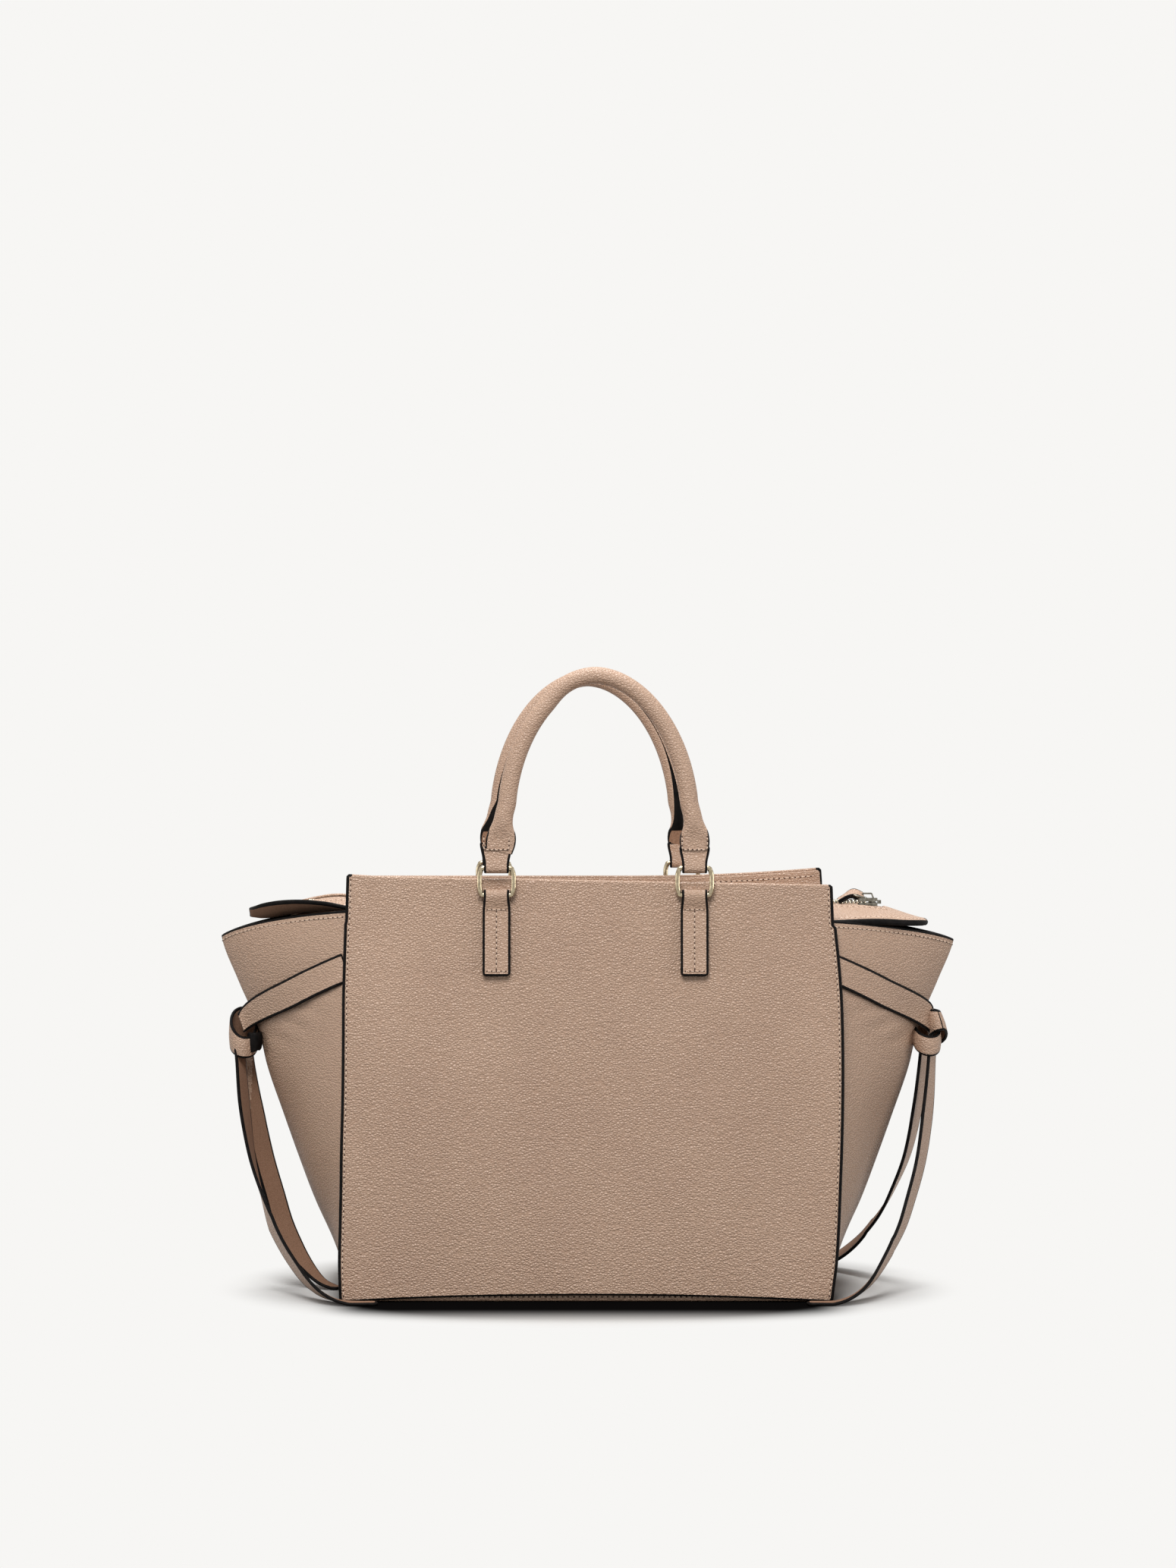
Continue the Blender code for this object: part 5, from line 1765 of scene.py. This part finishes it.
    def pull(self) -> None:
        """The leather pull: a strap folded through the ring that rises, bends over and hangs.

        Its line is the sum of small steps whose slope turns from rising to falling, and both
        plies stand off that line until they meet.
        """
        over = np.radians(np.linspace(-90, 90, 13))
        runs = np.linspace(self.pull_length, 0, 60)
        slope = np.radians(lerp(*self.pull_slopes, ease((runs[::-1] - 0.002) / 0.008)))
        ahead = np.stack([-np.cos(slope), np.sin(slope)], axis=1)
        bow = (np.cumsum(ahead, axis=0) * self.pull_length / (len(runs) - 1))[::-1]
        rise = np.stack([np.sin(slope), np.cos(slope)], axis=1)[::-1]
        gap = lerp(self.pull_eye, self.pull_gap, ease(runs / 0.010))[:, None]
        start = np.array(self.pull_start)
        fold = start + self.pull_eye * np.stack([np.cos(over), np.sin(over)], axis=1)
        upper, lower = start + bow + rise * gap, start + bow - rise * gap
        x, z = np.concatenate([lower[:-1], fold, upper[:-1][::-1]]).T
        back = np.concatenate([runs[:-1], 0 * over, runs[:-1][::-1]])
        path = spots(x, 0, z)
        reach = along(path)
        at = np.linspace(0, reach[-1], 110)
        back, path = np.interp(at, reach, back), resample(path, at)
        tilt = np.radians(lerp(*self.pull_tilts, ease((back - 0.003) / 0.009)))
        ends = rounded_end(self.pull_length - back, 9, self.pull_corner)
        width = lerp(*self.pull_widths, ease(back / 0.012)) - 2 * ends
        work = Work()
        across = spots(0, np.cos(tilt), np.sin(tilt))
        work.hide(sweep(path, across, width, spaced(7, 0.07, 0.18)), self.pull_ply)
        work.build("zip_pull_leather", STRAP, "zip_pull_tab", "pull_tab")

    def build(self) -> None:
        """Build the whole zip panel."""
        for face in Face:
            for side in Side:
                self.flap(face, side)
                self.tape(face, side)
                self.teeth(face, side)
        for side in Side:
            self.tongue(side)
        for node in ("zip_slider", "zip_bottom_stop", "front_zip_top_stop", "rear_zip_top_stop"):
            coat(node, NICKEL)
        self.pull_ring()
        self.pull()


# Height, reach and forward shares of a tail, from the knot to its tip on the floor
TAIL_SHARES = (
    (0.80, 0.975, 0.055),
    (0.57, 0.92, 0.14),
    (0.39, 0.83, 0.28),
    (0.27, 0.75, 0.41),
    (0.16, 0.63, 0.58),
    (0.075, 0.49, 0.78),
    (0.024, 0.345, 0.93),
    (0.0, 0.19, 1.0),
    (0.0, 0.0, 1.0),
)
BESIDE_SHARES = (
    (0.80, 0.950, 0.0),
    (0.57, 0.865, -0.01),
    (0.39, 0.770, -0.05),
    (0.27, 0.700, -0.10),
    (0.16, 0.600, -0.16),
    (0.075, 0.480, -0.22),
    (0.024, 0.375, -0.27),
    (0.0, 0.270, -0.29),
    (0.0, 0.225, -0.30),
)


@dataclass(frozen=True)
class Tail:
    """How one tail hangs off its solid's centre line: shares at the knot, half way and the floor."""

    outward: Triple
    turn: Triple
    shares: tuple[Triple, ...] = TAIL_SHARES
    light_share: float = 0.0


TAILS = {
    (Side.LEFT, Face.FRONT): Tail((0.0034, -0.0012, -0.0056), (26, -20, -24)),
    (Side.LEFT, Face.REAR): Tail((0.0004, 0.0012, 0.0030), (34, 38, 30), BESIDE_SHARES, 0.30),
    (Side.RIGHT, Face.FRONT): Tail((0.0005, -0.0022, 0.0), (-28, -20, -10)),
    (Side.RIGHT, Face.REAR): Tail((-0.0035, -0.0105, -0.006), (-30, -8, 14)),
}


@dataclass(frozen=True)
class Band:
    """One turn of strap in a knot: middle, radii, rims, slant and where its end laps over."""

    reach: float
    depth: float
    radii: tuple[float, float]
    top: Triple
    foot: Triple
    start: float = 150.0
    turns: float = 1.08
    taper: float = 1.0
    lean: float = 0.0
    outer: Mark = Mark.GRAIN


BANDS = {
    Side.LEFT: (
        Band(0.2333, 0.0, (0.0079, 0.0126), (0.1782, 0.0090, 0.0026), (0.1615, 0.0052, 0.0014)),
        Band(
            reach=0.2252,
            depth=-0.0058,
            radii=(0.0032, 0.0052),
            top=(0.1716, 0.0, 0.0),
            foot=(0.1606, 0.0, -0.0012),
            turns=0.55,
            outer=Mark.PAINT,
        ),
    ),
    Side.RIGHT: (
        Band(0.2293, -0.0016, (0.0078, 0.0116), (0.1749, 0.0052, -0.0016), (0.1630, 0.0054, -0.0012)),
        Band(
            reach=0.2386,
            depth=0.0010,
            radii=(0.0046, 0.0092),
            top=(0.1866, 0.0, -0.0008),
            foot=(0.1690, -0.0056, 0.0010),
            start=250.0,
            taper=0.62,
            lean=-0.0030,
        ),
    ),
}


# How a tie enters its knot: slant across, and drop at its lower and its upper rim
ENTRIES = {Side.LEFT: (0.0036, (0.0010, 0.0060)), Side.RIGHT: (0.0, (0.0022, 0.0010))}
# A tail's first key, inside the knot
TAIL_START = (1.04, 1.0, 0.03)


@dataclass
class Ties:
    """Flat ties over the wings, knotted at the folds, their tails down to the floor."""

    width: float = 0.0185
    arm_width: float = 0.0178
    thick: float = 0.0018
    tail_thick: float = 0.0021
    band_thick: float = 0.0019
    wing_skin: float = 0.0008
    play: float = 0.0003
    seam_height: float = 0.2193
    arm_fall: float = 0.0375
    fold_reach: float = 0.2334
    fold_depth: float = 0.0042
    leave_turn: float = 0.62
    inside_panel: float = 0.0034
    knot_reach: float = 0.2336
    knot_depth: float = 0.0050
    lap: float = 0.0021
    swell: float = 0.0006
    gathered: float = 0.0105
    tip_share: float = 0.42
    tip_corner: float = 0.003
    floor_play: float = 0.0004
    tail_top: float = 0.155
    tail_tip: float = 0.144
    tail_forward: float = 0.0845

    @classmethod
    def centre_height(cls, turn: Array) -> Array:
        """Height of a tie's middle: it falls in step with the wing's reach."""
        return cls.seam_height - cls.arm_fall * (1 - np.abs(turn) ** SHELL.wing_round)

    def on_wing(self, side: Side, turn: Array, shares: Array) -> Array:
        """The tie's middle surface where it lies on the wing.

        The width direction is the wing's normal crossed with the tie's way; its steps in turn
        and height come from the two tangents' inner products.

        Args:
            side: Which end of the bag.
            turn: Places of the middle line from the seam towards the fold.
            shares: Places across the width, 0 to 1.

        Returns:
            A grid, turns by shares.
        """
        out = self.wing_skin + self.play + self.thick / 2
        z, d = self.centre_height(turn), 1e-5
        by_turn = (SHELL.wing(side, turn + d, z, out) - SHELL.wing(side, turn - d, z, out)) / (2 * d)
        by_height = (SHELL.wing(side, turn, z + d, out) - SHELL.wing(side, turn, z - d, out)) / (2 * d)
        way = unit(np.gradient(SHELL.wing(side, turn, z, out), axis=0))
        across = unit(np.cross(unit(np.cross(by_turn, by_height)), way))
        across = across * np.sign(across[:, 2:3])
        pairs = ((by_turn, by_turn), (by_turn, by_height), (by_height, by_height))
        tt, tz, zz = (np.sum(a * b, axis=1) for a, b in pairs)
        ct, cz = np.sum(across * by_turn, axis=1), np.sum(across * by_height, axis=1)
        area = tt * zz - tz**2
        step_t, step_z = (zz * ct - tz * cz) / area, (tt * cz - tz * ct) / area
        offset = (shares - 0.5)[None] * self.arm_width
        t = turn[:, None] + offset * step_t[:, None] * np.clip(np.abs(turn) / 0.12, 0, 1)[:, None]
        return SHELL.wing(side, t, z[:, None] + offset * step_z[:, None], out)

    def arm(self, work: Work, face: Face, side: Side) -> None:
        """The tie from its seam over the wing to the fold, where it lifts off and enters the knot.

        Args:
            work: The tie's surfaces.
            face: Which tie.
            side: Which end of the bag.
        """
        f, s, shares = face.value, side.value, STRAP_SHARES
        last = -0.03 if face is Face.FRONT else 0.05
        turn = f * lerp(0.999, last, spaced(70, 0.0012, 0.01))
        x, y, z = np.moveaxis(self.on_wing(side, turn, shares), -1, 0)
        leave = np.clip(1 - np.abs(turn) / self.leave_turn, 0, 1)[:, None] ** 2
        slant, drop = ENTRIES[side]
        z = z - leave * lerp(*drop, shares)
        x = s * lerp(s * x, self.fold_reach + slant * shares, leave)
        behind = SHELL.depth(z) - self.inside_panel
        y = np.clip(lerp(y, f * self.fold_depth, leave), -behind, behind)
        work.hide(spots(x, y, z), self.thick, flip=s * f < 0)

    def tail(self, work: Work, face: Face, side: Side) -> None:
        """A tail: its solid's line, with its own turn about that line and its own drift.

        Args:
            work: The tie's surfaces.
            face: Which tie.
            side: Which end of the bag.
        """
        s, f, look, shares = side.value, face.value, TAILS[side, face], STRAP_SHARES
        keys, share = np.array([TAIL_START, *look.shares]), np.linspace(0, 1, 200)
        high, out, forward = catmull(keys, share * (len(keys) - 1)).T
        outward = np.interp(share, (0.0, 0.5, 1.0), look.outward)
        turn = np.radians(np.interp(share, (0.0, 0.42, 1.0), look.turn))
        turn = turn * np.clip((1 - share) / 0.12, 0.25, 1)
        floor = self.floor_play + self.thick / 2
        path = spots(
            s * (lerp(self.tail_tip, self.knot_reach - 0.0012, out) + outward),
            f * lerp(self.knot_depth, self.tail_forward, forward),
            lerp(floor, self.tail_top, np.maximum(high, 0)),
        )
        reach = along(path)
        at = np.concatenate([[0], np.linspace(0.001, reach[-1] - 0.001, 190), [reach[-1]]])
        path, turn, left = resample(path, at), np.interp(at, reach, turn), reach[-1] - at
        wide = lerp(self.gathered, self.width, ease(at / 0.05))
        wide = wide * lerp(1.0, self.tip_share, ease((0.05 - left) / 0.045))
        wide = wide - 2 * rounded_end(left, 9, self.tip_corner)
        across = spots(-s * np.sin(turn), np.cos(turn), 0)
        ahead = unit(np.gradient(path, axis=0))
        across = unit(across - ahead * np.sum(across * ahead, axis=1, keepdims=True))
        grid = sweep(path, across, wide, shares)
        grid[:, :, 2] = np.maximum(grid[:, :, 2], floor)
        inner = Mark.FLESH
        if look.light_share:
            place = np.linspace(0, 1, len(grid) - 1)[:, None]
            middle = (shares[1:] + shares[:-1])[None] / 2
            inner = np.where(middle < 1 - place / look.light_share, Mark.GRAIN, Mark.FLESH)
        work.hide(grid, self.tail_thick, (Mark.GRAIN, Mark.PAINT, inner), flip=s > 0)

    def band(self, work: Work, side: Side, shape: Band) -> None:
        """One turn of strap: an ellipse whose rims tilt, its end lapping over its start.

        The radius grows by a strap's thickness over the last part of the turn, and shrinks by
        the taper from foot to top while the middle leans along.

        Args:
            work: The tie's surfaces.
            side: Which end of the bag.
            shape: The band's sizes.
        """
        s = side.value
        turn = np.radians(shape.start + 360 * shape.turns * spaced(60, 0.004, 0.012))
        gt, gs = np.meshgrid(turn, spaced(9, 0.05, 0.13))
        grow = self.lap * ease((gt - turn[0]) / math.tau - max(0.0, shape.turns - 1))
        swell = self.swell * np.sin(math.pi * gs)
        rx, ry = (radius * lerp(1.0, shape.taper, gs) + grow + swell for radius in shape.radii)
        x, y = shape.reach + shape.lean * gs + rx * np.cos(gt), shape.depth + ry * np.sin(gt)
        rims = np.array((shape.foot, shape.top))[..., None, None]
        foot, top = (mean + tilt * np.sin(gt) + slant * np.cos(gt) for mean, tilt, slant in rims)
        marks = (shape.outer, Mark.PAINT, Mark.FLESH)
        work.hide(spots(s * x, y, lerp(foot, top, gs)), self.band_thick, marks, flip=s < 0)

    def build(self) -> None:
        """Build the four ties."""
        for side in Side:
            for face in Face:
                work = Work()
                self.arm(work, face, side)
                self.tail(work, face, side)
                for shape in BANDS[side] if face is Face.FRONT else ():
                    self.band(work, side, shape)
                name = f"{face.word}_{side.word}_tie"
                work.build(f"{name}_strap", STRAP, name)


# ---------------------------------------------------------------- the studio


@dataclass(frozen=True)
class StudioPaper(Finish):
    """Seamless paper: matt white, and lit so evenly that it fades into the surround."""

    name: str = "floor_paper"
    colour: str = "cccbc9"
    roughness: float = 0.95
    gloss: float = 0.0
    surround: str = "f7f6f4"
    bounce: str = "6a6764"
    under: str = "0c0b0b"
    oval: Triple = (0.85, 1.2, 1.0)
    near: float = 0.165
    far: float = 0.218
    # Where the contact shadow starts to fade and ends, across and forwards
    contact_ends: tuple[tuple[float, float], ...] = ((0.146, 0.186), (0.100, 0.165))

    def dress(self, nodes: Nodes) -> None:
        """Paper near the object, the surround's white further out, a duller bounce light.

        Args:
            nodes: The material's nodes.
        """
        place = nodes.add("TexCoord", out="Object")
        oval = nodes.add("VectorMath", {"operation": "MULTIPLY", 1: self.oval}, {0: place})
        reach = nodes.add("VectorMath", {"operation": "LENGTH"}, {0: oval}, "Value")
        fade = {"interpolation_type": "SMOOTHSTEP", "From Min": self.near, "From Max": self.far}
        far, seen = nodes.add("MapRange", fade, {"Value": reach}), nodes.seen()
        share = nodes.add("Math", {"operation": "MULTIPLY"}, {0: far, 1: seen})
        tones = {"data_type": "RGBA", 6: linear(self.bounce), 7: linear(self.colour)}
        tone = nodes.add("Mix", tones, {"Factor": seen}, 2)
        nodes.feed("Base Color", self.contact(nodes, place, seen, tone))
        glow = nodes.add("Emission", {"Color": linear(self.surround), "Strength": 1.0})
        mixed = nodes.add("MixShader", links={0: share, 1: nodes.shader.outputs[0], 2: glow})
        nodes.tree.links.new(mixed, nodes.tree.nodes["Material Output"].inputs["Surface"])

    def contact(self, nodes: Nodes, place: Socket, seen: Socket, tone: Socket) -> Socket:
        """Deepen the contact shadow under the base, as soft steps across and forwards.

        Args:
            nodes: The material's nodes.
            place: Object coordinates.
            seen: One for rays that show the paper.
            tone: The paper's colour.

        Returns:
            The colour with the contact shadow in it.
        """
        parts = nodes.add("SeparateXYZ", links={0: place}).node.outputs
        share = seen
        for part, (near, far) in zip(parts, self.contact_ends):
            size = nodes.add("Math", {"operation": "ABSOLUTE"}, {0: part})
            step = {"From Min": near, "From Max": far, "To Min": 1.0, "To Max": 0.0}
            fade = nodes.add("MapRange", {"interpolation_type": "SMOOTHSTEP", **step}, {"Value": size})
            share = nodes.add("Math", {"operation": "MULTIPLY"}, {0: share, 1: fade})
        dark = {"data_type": "RGBA", 7: linear(self.under)}
        return nodes.add("Mix", dark, {"Factor": share, 6: tone}, 2)


@dataclass(frozen=True)
class Lamp:
    """One softbox: its place, the side of its square and its power."""

    name: str
    place: Triple
    size: float
    power: float


@dataclass
class Studio:
    """Pale floor, white surround, four softboxes and the camera."""

    eye_height: float = 0.350
    distance: float = 2.266
    lens: float = 76.6
    shift: float = -0.00895
    aim_height: float = 0.16
    floor_half: float = 6.0
    world_light: float = 0.22
    lamps: tuple[Lamp, ...] = (
        Lamp("key_softbox", (-0.15, -1.25, 1.50), 0.8, 31.0),
        Lamp("left_softbox", (-1.85, -0.7, 0.2), 1.0, 9.5),
        Lamp("right_softbox", (1.85, -0.7, 0.2), 1.0, 15.5),
        Lamp("top_softbox", (0.0, 0.42, 2.1), 0.85, 31.0),
    )

    @staticmethod
    def stand(name: str, data: bpy.types.ID) -> bpy.types.Object:
        """Make an object for a mesh, lamp or camera and put it in the scene.

        Args:
            name: The object's name.
            data: What it shows.

        Returns:
            The object.
        """
        made = bpy.data.objects.new(name, data)
        bpy.context.scene.collection.objects.link(made)
        return made

    def build(self) -> None:
        """Set the stage."""
        bpy.context.scene.view_settings.view_transform = "Standard"
        self.floor()
        self.world()
        for lamp in self.lamps:
            self.hang(lamp)
        camera = bpy.data.cameras.new("camera")
        camera.lens, camera.shift_y = self.lens, self.shift
        camera.sensor_width, camera.sensor_fit = 36.0, "AUTO"
        made = self.stand("camera", camera)
        made.location = (0.0, -self.distance, self.eye_height)
        made.rotation_euler = (math.pi / 2, 0, 0)
        bpy.context.scene.camera = made

    def hang(self, lamp: Lamp) -> None:
        """An area lamp aimed at the middle of the bag.

        Args:
            lamp: Its place, size and power.
        """
        light = bpy.data.lights.new(lamp.name, "AREA")
        light.size, light.energy = lamp.size, lamp.power
        made = self.stand(lamp.name, light)
        made.location = lamp.place
        x, y, z = np.array([0.0, 0.0, self.aim_height]) - np.array(lamp.place)
        made.rotation_euler = (math.atan2(math.hypot(x, y), -z), 0, math.atan2(y, x) - math.pi / 2)

    def floor(self) -> None:
        """A wide pale floor that shows as the surround to the camera but keeps the shadow."""
        mesh = bpy.data.meshes.new("floor")
        half = self.floor_half
        corners = [(x * half, y * half, 0) for x, y in ((-1, -1), (1, -1), (1, 1), (-1, 1))]
        mesh.from_pydata(corners, [], [(0, 1, 2, 3)])
        mesh.materials.append(StudioPaper().material())
        self.stand("floor", mesh)

    def world(self) -> None:
        """White to the camera and to gloss, softer as a light."""
        world = bpy.data.worlds.new("surround")
        bpy.context.scene.world = world
        world.use_nodes = True
        soft = world.node_tree.nodes["Background"]
        soft.inputs["Color"].default_value = linear("ffffff")
        soft.inputs["Strength"].default_value = self.world_light
        nodes = Nodes(world.node_tree, soft)
        white = nodes.add("Background", {"Color": linear(StudioPaper().surround), "Strength": 1.0})
        mix = nodes.add("MixShader", links={0: nodes.seen(), 1: soft.outputs[0], 2: white})
        world.node_tree.links.new(mix, world.node_tree.nodes["World Output"].inputs["Surface"])


def main() -> None:
    """Build every part of the bag and the studio."""
    logging.basicConfig(level=logging.INFO, format="%(name)s %(message)s")
    Studio().build()
    Panels().build()
    Gussets().build()
    for face in Face:
        Carrying(face).build()
    ZipTop().build()
    Ties().build()
    coat("base_board", Fibreboard())


if __name__ == "__main__":
    main()
